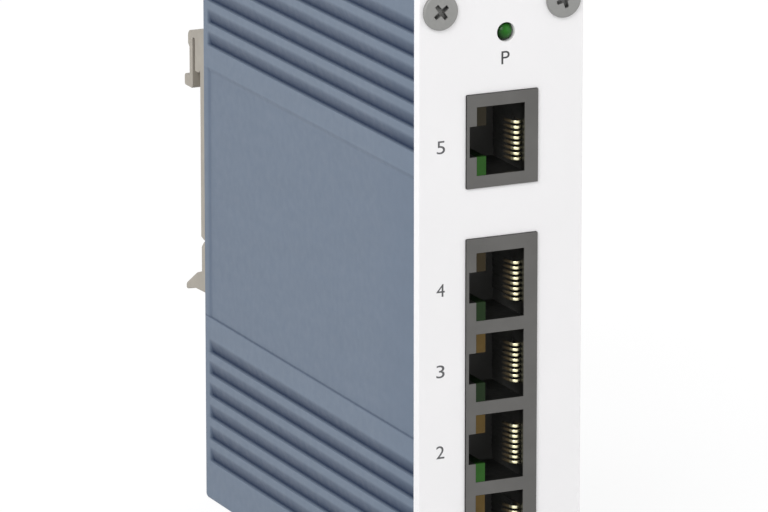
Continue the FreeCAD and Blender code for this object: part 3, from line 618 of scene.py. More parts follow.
def board_laminate():
    """Solder mask over copper: a fine lattice of tracks shows as a lighter green."""
    done = Finish("board laminate", BOARD_MASK, roughness=0.35, Coat_Weight=0.25)
    brick = done.nodes.new("ShaderNodeTexBrick")
    brick.inputs["Scale"].default_value = 120.0
    brick.inputs["Color1"].default_value = (*BOARD_MASK, 1.0)
    brick.inputs["Color2"].default_value = BOARD_MASK_LIGHT
    brick.inputs["Mortar"].default_value = BOARD_TRACK
    brick.inputs["Mortar Size"].default_value = 0.03
    turn = done.nodes.new("ShaderNodeMapping")
    turn.inputs["Rotation"].default_value = (0.0, math.radians(90), 0.0)
    done.links.new(done.place, turn.inputs["Vector"])
    done.links.new(turn.outputs["Vector"], brick.inputs["Vector"])
    done.paint(brick.outputs["Color"])
    return done.gloss(low=0.28, high=0.4, scale=600.0).material


def inner_finishes():
    """Materials of the parts inside the housing, by the record's slot."""
    made = {slot: moulded_plastic(*values) for slot, values in INNER_PLASTICS.items()}
    made.update({slot: plated_metal(*values) for slot, values in INNER_METALS.items()})
    made["board_green"] = board_laminate()
    return made


# ---------------------------------------------------------------- housing
# Painted shade in straight runs from knot to knot. Each knot is a place in millimetres from
# the recess's lower edge, from its upper edge, or behind the line where the relief stops.
LOW_EDGE_SHADE = ((-0.06, 0.0), (0.02, 0.55), (0.17, 0.45), (0.35, 0.12), (1.2, 0.08))
HIGH_EDGE_SHADE = ((-0.8, 0.08), (-0.3, 0.13), (0.0, 0.0))
BACK_EDGE_SHADE = ((-1.3, 0.0), (-0.6, 0.2), (0.0, 0.22), (0.3, 0.0))
GROOVE_END_SHADE = ((-0.35, 1.0), (0.0, 0.6), (0.3, 0.0))
LIP_FOOT_SHADE = 0.46                # at the foot of a groove's rounded upper edge
# Rows of points by the recess's lower and upper edge and by the relief's end, millimetres
LOW_EDGE_ROWS = (-0.15, -0.1, -0.05, 0.0, 0.05, 0.1, 0.17, 0.35, 0.6, 1.2)
HIGH_EDGE_ROWS = np.linspace(-0.95, 0.15, 12)
BACK_EDGE_ROWS = (-1.3, -0.9, -0.6, *np.linspace(-0.35, 0.35, 9))
RUN_OUT = 0.3 * MM              # half the length over which the relief runs out
SEAM_END = 15 * MM              # ends of the seam that closes the back wall
FRONT_ROW = 0.1 * MM            # first row of points behind the front edge
FRONT_BEVEL = 0.06 * MM         # how far the front edge is drawn in
LEAST_ROUND = 0.02 * MM         # radius left of the side rounding at the back


def knotted(places, start, knots):
    """Value at each place: straight runs between knots in millimetres from start."""
    at, values = np.array(knots).T
    return np.interp(places - start, at * MM, values)


def relief_lines(settings):
    """Height of each groove's deepest line, and the recess's lower and upper edge."""
    s = settings
    steps = np.arange(s.groove_count) * s.groove_pitch
    top = HOUSING_HIGH.z - s.groove_top
    low = s.groove_low + steps[-1] + s.recess_low
    high = top - steps[-1] - s.recess_high
    return np.concatenate([s.groove_low + steps, top - steps]), low, high


def side_depth(z, settings):
    """Depth of a side wall's relief at each height: the deepest of the groove profiles,
    each a sloping shelf, a flat root, a ramp and a rounded lip, and of the plain recess.
    The sharp profile is averaged over a short window, which rounds its corners."""
    s = settings
    knots = [-s.groove_below, -s.groove_root / 2, s.groove_root / 2,
             s.groove_above - s.groove_lip, s.groove_above]
    depths = [0, s.groove_depth, s.groove_depth, s.groove_step, 0]
    lines, low, high = relief_lines(s)
    window = np.linspace(-s.soften, s.soften, 7)
    u = z[:, None, None] - lines[None, :, None] + window[None, None, :]
    grooves = np.interp(u, knots, depths).mean(axis=2).max(axis=1)
    here = z[:, None] + window[None, :]
    draft = np.clip((high - here) / s.recess_draft, 0, 1)
    recess = s.recess_depth * (draft * (here > low)).mean(axis=1)
    return np.maximum(grooves, recess)


def side_shade(z, y, settings):
    """Painted shade of a side wall, 0 to 1. Up a groove it rises over the shelf, is full at
    the root, falls along the ramp and ends with the lip, and it fades where the groove stops.
    The recess has a thin line of it by its lower edge, a faint one by its back edge and a
    faint tone all over."""
    s = settings
    knots = [-s.groove_below, 0.0, s.groove_root, s.groove_above - s.groove_lip,
             s.groove_above]
    shades = [0.0, 1.0, 1.0, LIP_FOOT_SHADE, 0.0]
    stop = HOUSING_HIGH.y - s.groove_stop
    lines, low, high = relief_lines(s)
    grooves = np.interp(z[:, None] - lines[None, :], knots, shades, 0.0, 0.0).max(axis=1)
    edge = np.where(z < (low + high) / 2, knotted(z, low, LOW_EDGE_SHADE),
                    knotted(z, high, HIGH_EDGE_SHADE))
    back = knotted(y, stop, BACK_EDGE_SHADE)
    inside = (z > low + LOW_EDGE_SHADE[0][0] * MM) & (z < high)
    recess = np.where(inside, np.maximum(edge, back), 0.0)
    return np.maximum(grooves * knotted(y, stop, GROOVE_END_SHADE), recess)


def side_heights(settings):
    """Heights of the points up a side wall: close over the relief, wide apart elsewhere."""
    s = settings
    lines, low, high = relief_lines(s)
    root = s.groove_below + 1.5 * s.soften
    ramp = s.groove_above - s.groove_lip
    beside, clear, plain = 0.1 * MM, 0.5 * MM, 2.0 * MM
    relief = np.concatenate([np.linspace(-root, root, 21), np.linspace(root, ramp, 11)[1:-1],
                             np.linspace(ramp - beside, s.groove_above + beside, 14)])
    return np.unique(np.concatenate([
        [s.side_round, lines.min() - s.groove_below - clear],
        (lines[:, None] + relief).ravel(),
        low + np.array(LOW_EDGE_ROWS) * MM,
        np.linspace(low + plain, high - plain, 5),
        high + HIGH_EDGE_ROWS * MM,
        [lines.max() + s.groove_above + clear, HOUSING_HIGH.z - s.side_round]]))


def housing_ring(settings, window_x):
    """One turn of points round the housing, anticlockwise from the front. A row holds a
    corner's X and Z, a direction's X and Z and the wall's relief: the point is
    corner + radius * direction, less the relief along X."""
    s = settings
    half = (HOUSING_HIGH.x - HOUSING_LOW.x) / 2
    side, low, high = half - s.side_round, s.side_round, HOUSING_HIGH.z - s.side_round
    z = side_heights(s)
    depth = side_depth(z, s)
    across = np.unique(np.concatenate([[-side, -half / 2, 0.0, half / 2, side], window_x]))
    turn = np.radians(np.linspace(0, 90, 7))[1:-1]

    def run(*columns):
        """Rows of a straight run, from five columns or numbers."""
        return np.stack(np.broadcast_arrays(*columns), -1)

    def rounding(x, z, start):
        """Quarter turn about a corner's middle, whose direction is (cos t, sin t)."""
        return run(x, z, np.cos(turn + start), np.sin(turn + start), 0.0)

    return np.concatenate([
        run(side, z, 1.0, 0.0, depth),
        rounding(side, high, 0.0),
        run(across[::-1], high, 0.0, 1.0, 0.0),
        rounding(-side, high, math.pi / 2),
        run(-side, z[::-1], -1.0, 0.0, depth[::-1]),
        rounding(-side, low, math.pi),
        run(across, low, 0.0, -1.0, 0.0),
        rounding(side, low, 3 * math.pi / 2)])


def drawn_in(y, radius):
    """How far a quarter circle at the back has drawn the surface in at each Y."""
    u = np.clip((y - HOUSING_HIGH.y + radius) / radius, 0, 1)
    return (radius * (1 - np.sqrt(1 - u ** 2)))[:, None]


def outer_skin(ring, window_y, settings):
    """The ring of points carried along Y: its relief runs out before the back, and its
    height and width shrink there by quarter circles of two radii."""
    s = settings
    front, back = HOUSING_LOW.y, HOUSING_HIGH.y
    stop = back - s.groove_stop
    quarter = np.sin(np.radians(np.linspace(0, 90, 10)))
    y = np.unique(np.concatenate([[front, front + FRONT_ROW], window_y,
                                  np.linspace(window_y[1], stop, 4)[1:-1],
                                  stop + np.array(BACK_EDGE_ROWS) * MM,
                                  back - s.back_corner * (1 - quarter),
                                  back - s.side_round * (1 - quarter)]))
    lead = np.where(y == front, FRONT_BEVEL, 0.0)[:, None]
    inset_x = drawn_in(y, s.side_round) + lead
    inset_z = drawn_in(y, s.back_corner) + lead
    radius = np.maximum(s.side_round - drawn_in(y, s.side_round), LEAST_ROUND)
    gate = np.clip((stop + RUN_OUT - y) / (2 * RUN_OUT), 0, 1)[:, None]
    middle = HOUSING_HIGH.z / 2
    half = HOUSING_HIGH.x
    corner_x, corner_z, way_x, way_z, relief = ring.T
    cx = corner_x * (half - inset_x - radius) / (half - s.side_round)
    rise = (corner_z - middle) * (middle - inset_z - radius) / (middle - s.side_round)
    x = cx + radius * way_x - gate * relief * way_x
    z = middle + rise + radius * way_z
    return np.stack([x, np.broadcast_to(y[:, None], x.shape), z], -1)


def inner_skin(ring, plain, window_y, settings):
    """The same ring held to the inner walls, from a plain row of the outer skin's points."""
    low = settings.wall
    wide, high = HOUSING_HIGH.x - low, HOUSING_HIGH.z - low
    y = np.concatenate([[HOUSING_LOW.y], window_y, [HOUSING_HIGH.y - low]])
    way_x, way_z = ring[:, 2], ring[:, 3]
    side = np.abs(way_x) > 0.5
    x = np.where(side, np.sign(way_x) * wide, np.clip(plain[:, 0], -wide, wide))
    z = np.where(side, np.clip(plain[:, 2], low, high), np.where(way_z > 0, high, low))
    return np.stack(np.broadcast_arrays(x, y[:, None], z), -1)


def housing_mesh(settings):
    """Closed shell: an outer and an inner skin, each closed at the back along the middle
    line, the front rim between them and the walls of the window for the power inlet."""
    s = settings
    window_x = np.array([INLET_LOW.x - s.window_gap, INLET_HIGH.x + s.window_gap])
    window_y = np.array([INLET_LOW.y - s.window_gap, INLET_HIGH.y + s.window_gap])
    ring = housing_ring(s, window_x)
    outer = outer_skin(ring, window_y, s)
    inner = inner_skin(ring, outer[1], window_y, s)

    def closed(skin):
        """A skin whose last ring is drawn to a seam, without the one cell of the window."""
        seam = skin[-1:].copy()
        seam[..., 2] = np.clip(seam[..., 2], SEAM_END, HOUSING_HIGH.z - SEAM_END)
        seam[..., 0] = 0.0
        points, quads = tube(np.concatenate([skin, seam]))
        x, y, z = points[quads].mean(axis=1).T
        inside = ((z > HOUSING_HIGH.z - 2 * s.wall) & (x > window_x[0]) & (x < window_x[1])
                  & (y > window_y[0]) & (y < window_y[1]))
        return points, quads[~inside]

    levels = np.array([HOUSING_HIGH.z, HOUSING_HIGH.z - s.wall])[:, None]
    well = np.broadcast_arrays(window_x[[0, 1, 1, 0]], window_y[[0, 0, 1, 1]], levels)
    shell = joined([closed(outer), closed(inner), tube(np.stack([outer[0], inner[0]])),
                    tube(np.stack(well, -1))])
    mesh = surface(*shell, ROUND_SHARP_EDGE)
    x, y, z = point_places(mesh)
    on_side = (HOUSING_HIGH.x - np.abs(x) < s.wall / 2) & (y > HOUSING_LOW.y)
    on_side &= (z > s.side_round) & (z < HOUSING_HIGH.z - s.side_round)
    # The painted shade of the side walls, which the plastic reads by the name groove
    note_points(mesh, "groove", np.where(on_side, side_shade(z, y, s), 0.0))
    return mesh


class SWITCH_OT_housing(bpy.types.Operator):
    """Grooved one-piece housing with its window for the power inlet"""
    bl_idname = "switch.housing"
    bl_label = "Housing"

    def execute(self, context):
        settings = context.scene.switch_housing
        piece("housing_shell", housing_mesh(settings), housing_plastic(settings),
              "switch", "housing_plastic", "housing")
        return {"FINISHED"}


# ---------------------------------------------------------------- front panel
PLATE_SHARP_EDGE = 10.0         # degrees; keeps the plate's flat faces flat


def lens_middle(settings):
    """Middle of the indicator, which sits a little beside its CAD node."""
    middle = (LENS_LOW + LENS_HIGH) / 2
    return middle.x - settings.lens_aside, middle.y, middle.z + settings.lens_rise


def circle(x, z, radius, steps=48):
    """Points of a circle, clockwise, as a hole's outline."""
    t = -np.linspace(0, 2 * math.pi, steps, endpoint=False)
    return np.stack([x + radius * np.cos(t), z + radius * np.sin(t)], -1)


def rectangle(x0, x1, z0, z1, radius, clockwise=False):
    """Outline of a rectangle with rounded corners, anticlockwise unless asked."""
    centres = [((x1 - radius, z0 + radius), -90), ((x1 - radius, z1 - radius), 0),
               ((x0 + radius, z1 - radius), 90), ((x0 + radius, z0 + radius), 180)]
    loop = np.concatenate([arc(c, radius, a, a + 90, 7) for c, a in centres])
    return loop[::-1] if clockwise else loop


def screw_places(settings):
    """Axis of each panel screw, as X and Z."""
    x = PANEL_HIGH.x - settings.screw_inset
    top = HOUSING_HIGH.z - settings.screw_inset_z
    return [(sx * x, z) for sx in (-1, 1) for z in (settings.screw_inset_z, top)]


def flat_plate(loops, y_front, y_back, edge):
    """Plate between two planes across Y: a filled flat curve with a rounded edge, stood up."""
    curve = bpy.data.curves.new("plate", "CURVE")
    curve.dimensions = "2D"
    curve.fill_mode = "BOTH"
    for loop in loops:
        spline = curve.splines.new("POLY")
        spline.points.add(len(loop) - 1)
        flat = np.zeros((len(loop), 4))
        flat[:, :2] = loop
        flat[:, 3] = 1.0
        spline.points.foreach_set("co", flat.ravel())
        spline.use_cyclic_u = True
    curve.extrude = (y_back - y_front) / 2 - edge
    curve.bevel_depth = edge
    curve.bevel_resolution = 2
    curve.offset = -edge
    mesh = mesh_of("plate", curve)
    mesh.transform(Matrix.Translation((0, (y_front + y_back) / 2, 0))
                   @ Matrix.Rotation(math.radians(90), 4, "X"))
    finish_mesh(mesh, PLATE_SHARP_EDGE)
    return mesh


class SWITCH_OT_panel(bpy.types.Operator):
    """White front plate with its cut-outs"""
    bl_idname = "switch.panel"
    bl_label = "Front panel"

    def execute(self, context):
        settings = context.scene.switch_panel
        gap = settings.gap
        loops = [rectangle(PANEL_LOW.x, PANEL_HIGH.x, 0.0, PANEL_HIGH.z, settings.corner)]
        for low, high in ((SINGLE_LOW, SINGLE_HIGH), (GANG_LOW, GANG_HIGH)):
            loops.append(rectangle(low.x - gap, BOARD_LOW.x + gap, low.z - gap,
                                   high.z + gap, settings.cut_corner, clockwise=True))
        for x, z in screw_places(settings):
            loops.append(circle(x, z, settings.screw_hole))
        lens_x, _, lens_z = lens_middle(settings)
        loops.append(circle(lens_x, lens_z, settings.lens_hole))
        mesh = flat_plate(loops, PANEL_LOW.y, PANEL_HIGH.y, settings.edge)
        piece("panel_plate", mesh, panel_paint(settings), "switch", "panel_white",
              "front_panel")
        return {"FINISHED"}


TYPE_SIZE = 3.1 * MM             # of the text before it is fitted to a mark's size
INK_LIFT = 0.006 * MM            # middle of the ink in front of the plate


class SWITCH_OT_legend(bpy.types.Operator):
    """Printed port numbers and the letter under the indicator"""
    bl_idname = "switch.legend"
    bl_label = "Printed legend"

    def execute(self, context):
        settings = context.scene.switch_panel
        grey = legend_ink("number ink", settings.ink)
        dark = legend_ink("letter ink", settings.dark_ink)
        left = PANEL_LOW.x + settings.mark_inset
        rises = [-settings.top_mark_drop] + [settings.mark_rise] * GANG_PORTS
        marks = [(str(GANG_PORTS + 1 - i), left, z + rise, grey)
                 for i, (z, rise) in enumerate(zip(port_heights(), rises))]
        lens_x, _, lens_z = lens_middle(settings)
        marks.append(("P", lens_x - settings.letter_aside, lens_z - settings.letter_drop,
                      dark))
        for mark, x, z, ink in marks:
            text = bpy.data.curves.new(mark, "FONT")
            text.body = mark
            text.size = TYPE_SIZE
            text.extrude = settings.ink_height
            mesh = mesh_of(mark, text)
            corners = point_places(mesh)
            middle = (corners.min(axis=1) + corners.max(axis=1)) / 2
            span = corners.max(axis=1) - corners.min(axis=1)
            wide = settings.one_width if mark == "1" else settings.mark_width
            mesh.transform(Matrix.Translation((x, PANEL_LOW.y, z))
                           @ Matrix.Rotation(math.radians(90), 4, "X")
                           @ Matrix.Diagonal((wide / span[0], settings.mark_height / span[1],
                                              1, 1))
                           @ Matrix.Translation((-middle[0], -middle[1], INK_LIFT)))
            finish_mesh(mesh)
            piece("legend_" + mark, mesh, ink, "switch", "panel_white")
        return {"FINISHED"}


# ---------------------------------------------------------------- panel screws
ARM_END_SLOPE = 0.22 * MM       # length of the slope at the end of a recess arm
ARM_SIDE_SLOPE = 0.1 * MM       # width of the slope along its side
ARM_WIDENING = 0.25             # share by which an arm is wider at the middle
ARM_RISE = 0.35                 # share by which it is shallower at its end
ARM_MARGIN = 0.2 * MM           # plain face round the recess that still takes painted shade
SHOULDER_FLAT = 0.7             # height of the head's shoulder in shares of its width
# Rings of points down the head's side and under it: radius in heads, height in millimetres
RIM = ((1.0, 0.25), (1.0, 0.03), (0.99, 0.0), (0.8, 0.0))
SHADE_DEPTH = 0.25              # share of the recess's depth at which the painted shade is full
SHADE_MIDDLE = 0.3              # share of the painted shade at the recess's middle
FACE_RINGS, SHANK_RINGS = 46, 121    # rings of points over the recess and down the shank
SCREW_STEPS = 160               # points in a ring
THREAD_SHARE = 0.17             # depth of the thread in shares of the shank's radius
THREAD_START = 0.6 * MM         # plain neck under the head
THREAD_END = 0.8 * MM           # length of the pointed end
TIP_DRAW = 0.35 * MM            # how much the pointed end narrows


def cross_depth(u, v, settings):
    """Depth of the cross recess at points of a screw's face: each arm is a slot that
    narrows inwards, deepest at the middle, and the arms are combined by the larger."""
    s = settings

    def slot(a, b):
        """One arm along a: its depth times how far each point is inside its outline."""
        share = np.abs(a) / s.arm
        reach = np.clip((s.arm - np.abs(a)) / ARM_END_SLOPE, 0, 1)
        half = s.slot / 2 * (1 + ARM_WIDENING * (1 - share))
        width = np.clip((half - np.abs(b)) / ARM_SIDE_SLOPE, 0, 1)
        return s.deep * reach * width * (1 - ARM_RISE * np.clip(share, 0, 1))

    return np.maximum(slot(u, v), slot(v, u))


def screw_surface(x, z, turn, settings):
    """Pan head screw: a polar grid over the domed face less the cross recess, the round
    shoulder and side, then a shank whose radius falls and rises once in each turn."""
    s = settings
    seat = PANEL_LOW.y
    t = np.linspace(0, 2 * math.pi, SCREW_STEPS, endpoint=False)[None, :]
    inner = np.linspace(0, s.arm + 1.25 * ARM_MARGIN, FACE_RINGS)[:, None]
    flat = np.linspace(s.arm + 2 * ARM_MARGIN, s.head - s.shoulder, 5)[:, None]
    r = np.concatenate([inner, flat])
    face = s.height - s.crown * (r / s.head) ** 2
    u, v = r * np.cos(t - turn), r * np.sin(t - turn)
    top = face - cross_depth(u, v, s)
    q = np.radians(np.linspace(8, 90, 8))[:, None]
    edge_face = s.height - s.crown * ((s.head - s.shoulder) / s.head) ** 2
    edge_r = s.head - s.shoulder + s.shoulder * np.sin(q) + 0 * t
    edge_h = edge_face - SHOULDER_FLAT * s.shoulder * (1 - np.cos(q)) + 0 * t
    rim = np.array(RIM)
    rim_r = rim[:, 0:1] * s.head + 0 * t
    rim_h = rim[:, 1:2] * MM + 0 * t
    down = np.linspace(0.0, SCREW_TIP - seat, SHANK_RINGS)[:, None]
    wave = np.abs(((down / s.thread - t / (2 * math.pi)) % 1.0) - 0.5) * 2
    end = np.clip((SCREW_TIP - seat - down) / THREAD_END, 0, 1)
    fade = np.clip(down / THREAD_START, 0, 1) * end
    shank_r = s.shank * (1 - THREAD_SHARE * wave * fade) - TIP_DRAW * (1 - end)
    shank_h = -down + 0 * t
    radii = np.concatenate([r + 0 * t, edge_r, rim_r, shank_r, 0 * t])
    heights = np.concatenate([top, edge_h, rim_h, shank_h, shank_h[-1:]])
    return tube(np.stack([x + radii * np.cos(t), seat - heights, z + radii * np.sin(t)], -1))


def note_recess_shade(mesh, x, z, settings):
    """Painted shade is how far a point lies under the head's face, more at the arms' ends."""
    s = settings
    px, py, pz = point_places(mesh)
    r = np.hypot(px - x, pz - z)
    under = s.height - s.crown * (r / s.head) ** 2 - (PANEL_LOW.y - py)
    reach = np.clip(r / s.arm, 0, 1)
    share = np.clip(under / (SHADE_DEPTH * s.deep), 0, 1)
    share = share * (SHADE_MIDDLE + (1 - SHADE_MIDDLE) * reach ** 2)
    face = (r < s.arm + ARM_MARGIN) & (py < PANEL_LOW.y + s.deep)
    note_points(mesh, "recess_shade", np.where(face, share, 0.0))


class SWITCH_OT_screws(bpy.types.Operator):
    """Four pan head screws with cross recesses"""
    bl_idname = "switch.screws"
    bl_label = "Panel screws"

    def execute(self, context):
        settings = context.scene.switch_screws
        # The zinc is blended to painted shade down in each cross recess
        zinc = plated_metal("screw zinc", settings.zinc, metallic=0.25, roughness=0.5,
                            drift=0.03, recess_shade=settings.recess_shade)
        places = screw_places(context.scene.switch_panel)
        for number, (x, z) in enumerate(places, 1):
            screw = screw_surface(x, z, settings.turns[number - 1], settings)
            mesh = surface(*screw, ROUND_SHARP_EDGE)
            note_recess_shade(mesh, x, z, settings)
            nodes = ["panel_screws"] if number == 1 else []
            piece(f"panel_screw_{number}", mesh, zinc, "switch", "screw_zinc", *nodes)
        return {"FINISHED"}


# ---------------------------------------------------------------- sockets
def note_painted_light(mesh, shares):
    """Each point takes the share of painted light of the port whose middle is nearest in
    height.
    """
    apart = np.abs(point_places(mesh)[2][:, None] - np.array(port_heights()))
    note_points(mesh, "painted_light", np.array(shares)[apart.argmin(axis=1)])


class SWITCH_OT_sockets(bpy.types.Operator):
    """Socket bodies and their indicator light guides"""
    bl_idname = "switch.sockets"
    bl_label = "Sockets"

    def execute(self, context):
        settings = context.scene.switch_sockets
        plastic = socket_plastic(settings)
        for node in ("rj45_single_shell", "rj45_gang_shell"):
            softened(node, settings.edge, node.replace("rj45_", "socket_"), plastic,
                     "switch", "socket_grey")
        amber = light_guide("amber light guide", settings.amber, settings.amber_shaded)
        green = light_guide("green light guide", settings.green, settings.green_shaded)
        guides = softened("rj45_amber_windows", settings.edge, "amber_guides", amber,
                          "switch", "window_amber")
        note_painted_light(guides.data, settings.amber_ports)
        guides = softened("rj45_green_windows", settings.edge, "green_guides", green,
                          "switch", "window_green")
        note_painted_light(guides.data, settings.green_ports)
        return {"FINISHED"}


SECTION_ANGLES = (36, 54, 126, 144, 216, 234, 306, 324)    # degrees, of a wire's corners
CAP_RING = 0.7                   # size of the ring of points on a wire's end face
SECTION_REACH = 0.618            # of a corner, in shares of the wire's width
COMB_DEPTH = np.array([-0.2, -0.02]) * MM    # back and face, from the wires' wall
BOX_QUADS = np.array([(0, 1, 3, 2), (4, 6, 7, 5), (0, 4, 5, 1), (2, 3, 7, 6), (0, 2, 6, 4),
                      (1, 5, 7, 3)])


def wire_path(settings):
    """Middle line of a contact wire in X and Y: a pin from the board, a knee, a run to
    the front, half a turn of the front bend and a slanted leg."""
    s = settings
    run_x = BOARD_LOW.x - s.bed
    bend_y = WIRE_LOW.y + s.bend + s.thickness / 2
    pin_y = WIRE_HIGH.y - s.thickness / 2
    slant = math.degrees(s.slant)
    knee = arc((run_x + s.knee, pin_y - s.knee), s.knee, 90, 180, 5)
    bend = arc((run_x - s.bend, bend_y), s.bend, 0, -(180 - slant), 15)
    way = np.array([-math.sin(s.slant), math.cos(s.slant)])
    leg = bend[-1] + way * s.leg * np.linspace(0, 1, 5)[1:, None]
    return np.concatenate([[[BOARD_LOW.x, pin_y]], knee, bend, leg])


def wire_surface(middle_z, settings):
    """Rounded flat wire: a section (a, b) is placed at each point of the path as
    point + a * normal + b * Z, and shrinks to close both ends."""
    s = settings
    path = wire_path(s)
    along = np.gradient(path, axis=0)
    along /= np.linalg.norm(along, axis=1)[:, None]
    normal = np.stack([along[:, 1], -along[:, 0]], -1)
    t = np.radians(np.array(SECTION_ANGLES))
    a = np.cos(t) * SECTION_REACH * s.thickness
    b = np.sin(t) * SECTION_REACH * s.width
    order = np.concatenate([[0, 0], np.arange(len(path)), [len(path) - 1] * 2])
    size = np.ones(len(order))
    size[[0, -1]] = 0.0
    size[[1, -2]] = CAP_RING
    centre, side = path[order], normal[order]
    wide = size[:, None] * a[None, :]
    return tube(np.stack([centre[:, 0:1] + side[:, 0:1] * wide,
                          centre[:, 1:2] + side[:, 1:2] * wide,
                          middle_z + size[:, None] * b[None, :]], -1))


def comb_surface(middle_z, settings):
    """Plain block that fills a port's wire slots behind the legs, just under the cavity's
    wall: its eight corners are every mix of its low and high X, Y and Z."""
    s = settings
    half = s.wires * s.pitch / 2
    x = BOARD_LOW.x - s.bed - s.thickness / 2 + COMB_DEPTH
    y = np.array([WIRE_LOW.y + s.comb, WIRE_HIGH.y])
    z = middle_z + np.array([-half, half])
    return np.stack(np.meshgrid(x, y, z, indexing="ij"), -1).reshape(-1, 3), BOX_QUADS


class SWITCH_OT_wires(bpy.types.Operator):
    """Gold contact wires of all ports"""
    bl_idname = "switch.wires"
    bl_label = "Contact wires"

    def execute(self, context):
        settings = context.scene.switch_wires
        gold = contact_gold(settings)
        middles = [port - drop for port, drop in zip(port_heights(), settings.drops)]
        rows = (np.arange(settings.wires) - (settings.wires - 1) / 2) * settings.pitch
        groups = (("single_wires", middles[:1], "rj45_single_contacts"),
                  ("gang_wires", middles[1:], "rj45_gang_contacts"))
        for name, group, node in groups:
            parts = [wire_surface(middle + row, settings) for middle in group for row in rows]
            piece(name, surface(*joined(parts), THIN_SHARP_EDGE), gold, "switch",
                  "contact_gold", node)
        combs = joined([comb_surface(middle, settings) for middle in middles])
        plastic = bpy.data.objects["socket_single_shell"].data.materials[0]
        piece("wire_combs", surface(*combs), plastic, "switch", "socket_grey")
        return {"FINISHED"}


# ---------------------------------------------------------------- indicator and inlet
CUP_FLOOR = 0.6                  # radius of the cup's floor in shares of its rim's


def note_painted_highlight(mesh, middle, settings):
    """The painted highlight falls off with the distance from a point beside the lens's axis.
    """
    x, _, z = point_places(mesh)
    apart = np.hypot(x - middle[0] - settings.chip, z - middle[2] - settings.chip)
    note_points(mesh, "painted_highlight", np.interp(apart, [settings.glow, settings.glow_end], [1, 0]))


class SWITCH_OT_indicator(bpy.types.Operator):
    """Domed indicator lens with a flange and a reflector cup behind its dome"""
    bl_idname = "switch.indicator"
    bl_label = "Indicator lens"

    def execute(self, context):
        settings = context.scene.switch_lens
        middle = lens_middle(context.scene.switch_panel)
        flange = (LENS_HIGH.x - LENS_LOW.x) / 2
        nose, cup, trim = settings.nose, settings.cup, settings.trim
        tip, back = PANEL_LOW.y - settings.proud, LENS_HIGH.y
        seat = PANEL_LOW.y + settings.seat
        front, floor = back - settings.flange, back - settings.cup_deep
        dome = arc((0.0, 0.0), 1.0, -90, 0, 18) * (nose, seat - tip) + (0.0, seat)
        tail = np.array([[nose, front], [flange - trim, front], [flange, front + trim],
                         [flange, back], [cup, back], [CUP_FLOOR * cup, floor + trim],
                         [0.0, floor]])
        turned = lathe(np.concatenate([dome, tail]), (middle[0], 0.0, middle[2]))
        mesh = surface(*turned, THIN_SHARP_EDGE)
        note_painted_highlight(mesh, middle, settings)
        piece("indicator_lens", mesh, lens_plastic(settings), "switch", "lens_green",
              "power_led")
        return {"FINISHED"}


class SWITCH_OT_inlet(bpy.types.Operator):
    """Plug-in header of the power inlet and its pins"""
    bl_idname = "switch.inlet"
    bl_label = "Power inlet"

    def execute(self, context):
        settings = context.scene.switch_inlet
        green = moulded_plastic("header plastic", settings.green, roughness=0.4,
                                amount=0.05)
        tin = plated_metal("tinned pin", settings.tin, metallic=1.0, roughness=0.28)
        softened("power_header", settings.edge, "inlet_header", green, "switch",
                 "header_green")
        softened("power_header_pins", settings.pin_edge, "inlet_pins", tin, "switch",
                 "pin_tin")
        return {"FINISHED"}


class SWITCH_OT_inside(bpy.types.Operator):
    """Finishes of the board, its parts and the hidden fasteners"""
    bl_idname = "switch.inside"
    bl_label = "Inner parts"

    def execute(self, context):
        made = inner_finishes()
        slots = {part["node"]: part["material_slot"]
                 for part in frame["record"]["subparts"]}
        for node, thing in frame["nodes"].items():
            if thing.hide_render:
                continue
            material = made.get(slots[node])
            if material is None:
                raise RuntimeError(f"no finish for {node} in slot {slots[node]}")
            thing.data.materials.clear()
            thing.data.materials.append(material)
        return {"FINISHED"}


# ---------------------------------------------------------------- rail clip
class SWITCH_OT_clip(bpy.types.Operator):
    """Rail bracket and its sliding latch"""
    bl_idname = "switch.clip"
    bl_label = "Rail clip"

    def execute(self, context):
        settings = context.scene.switch_clip
        nylon = moulded_plastic("clip nylon", settings.nylon, amount=0.06)
        softened("din_bracket", settings.edge, "rail_bracket", nylon, "switch",
                 "clip_beige")
        softened("din_latch", settings.edge, "rail_latch", nylon, "latch", "clip_beige")
        return {"FINISHED"}


COIL_STEPS = 28                  # points in a turn of the spring
COIL_SECTION = 12                # points round its wire
CLOSED_END = 0.08                # share of the wire that lies flat at each end
COIL_SHARP_EDGE = 60.0           # degrees
SPRING_STEEL = (0.5, 0.5, 0.5)   # linear colour


class SWITCH_OT_spring(bpy.types.Operator):
    """Wire spring that holds the latch up: the wire's middle turns evenly and rises
    except at its ends, and its round section shrinks to close both of them"""
    bl_idname = "switch.spring"
    bl_label = "Latch spring"

    def execute(self, context):
        s = context.scene.switch_clip
        middle = (SPRING_LOW + SPRING_HIGH) / 2
        coil_r = (SPRING_HIGH.x - SPRING_LOW.x) / 2 - s.wire
        share = np.linspace(0, 1, s.turns * COIL_STEPS + 1)
        ease = np.clip((share - CLOSED_END) / (1 - 2 * CLOSED_END), 0, 1)
        turn = (2 * math.pi * s.turns * share)[:, None]
        low, high = SPRING_LOW.z + s.wire, SPRING_HIGH.z - s.wire
        rise = (low + (high - low) * ease)[:, None]
        t = np.linspace(0, 2 * math.pi, COIL_SECTION, endpoint=False)[None, :]
        size = np.ones((len(share), 1))
        size[[0, -1]] = 0.0
        r = coil_r + size * s.wire * np.cos(t)
        coil = tube(np.stack([middle.x + r * np.cos(turn), middle.y + r * np.sin(turn),
                              rise + size * s.wire * np.sin(t)], -1))
        steel = plated_metal("spring steel", SPRING_STEEL, metallic=1.0, roughness=0.25)
        mesh = surface(*coil, COIL_SHARP_EDGE)
        spring = piece("latch_coil", mesh, steel, "switch", "spring_steel", "latch_spring")
        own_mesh(spring)
        return {"FINISHED"}


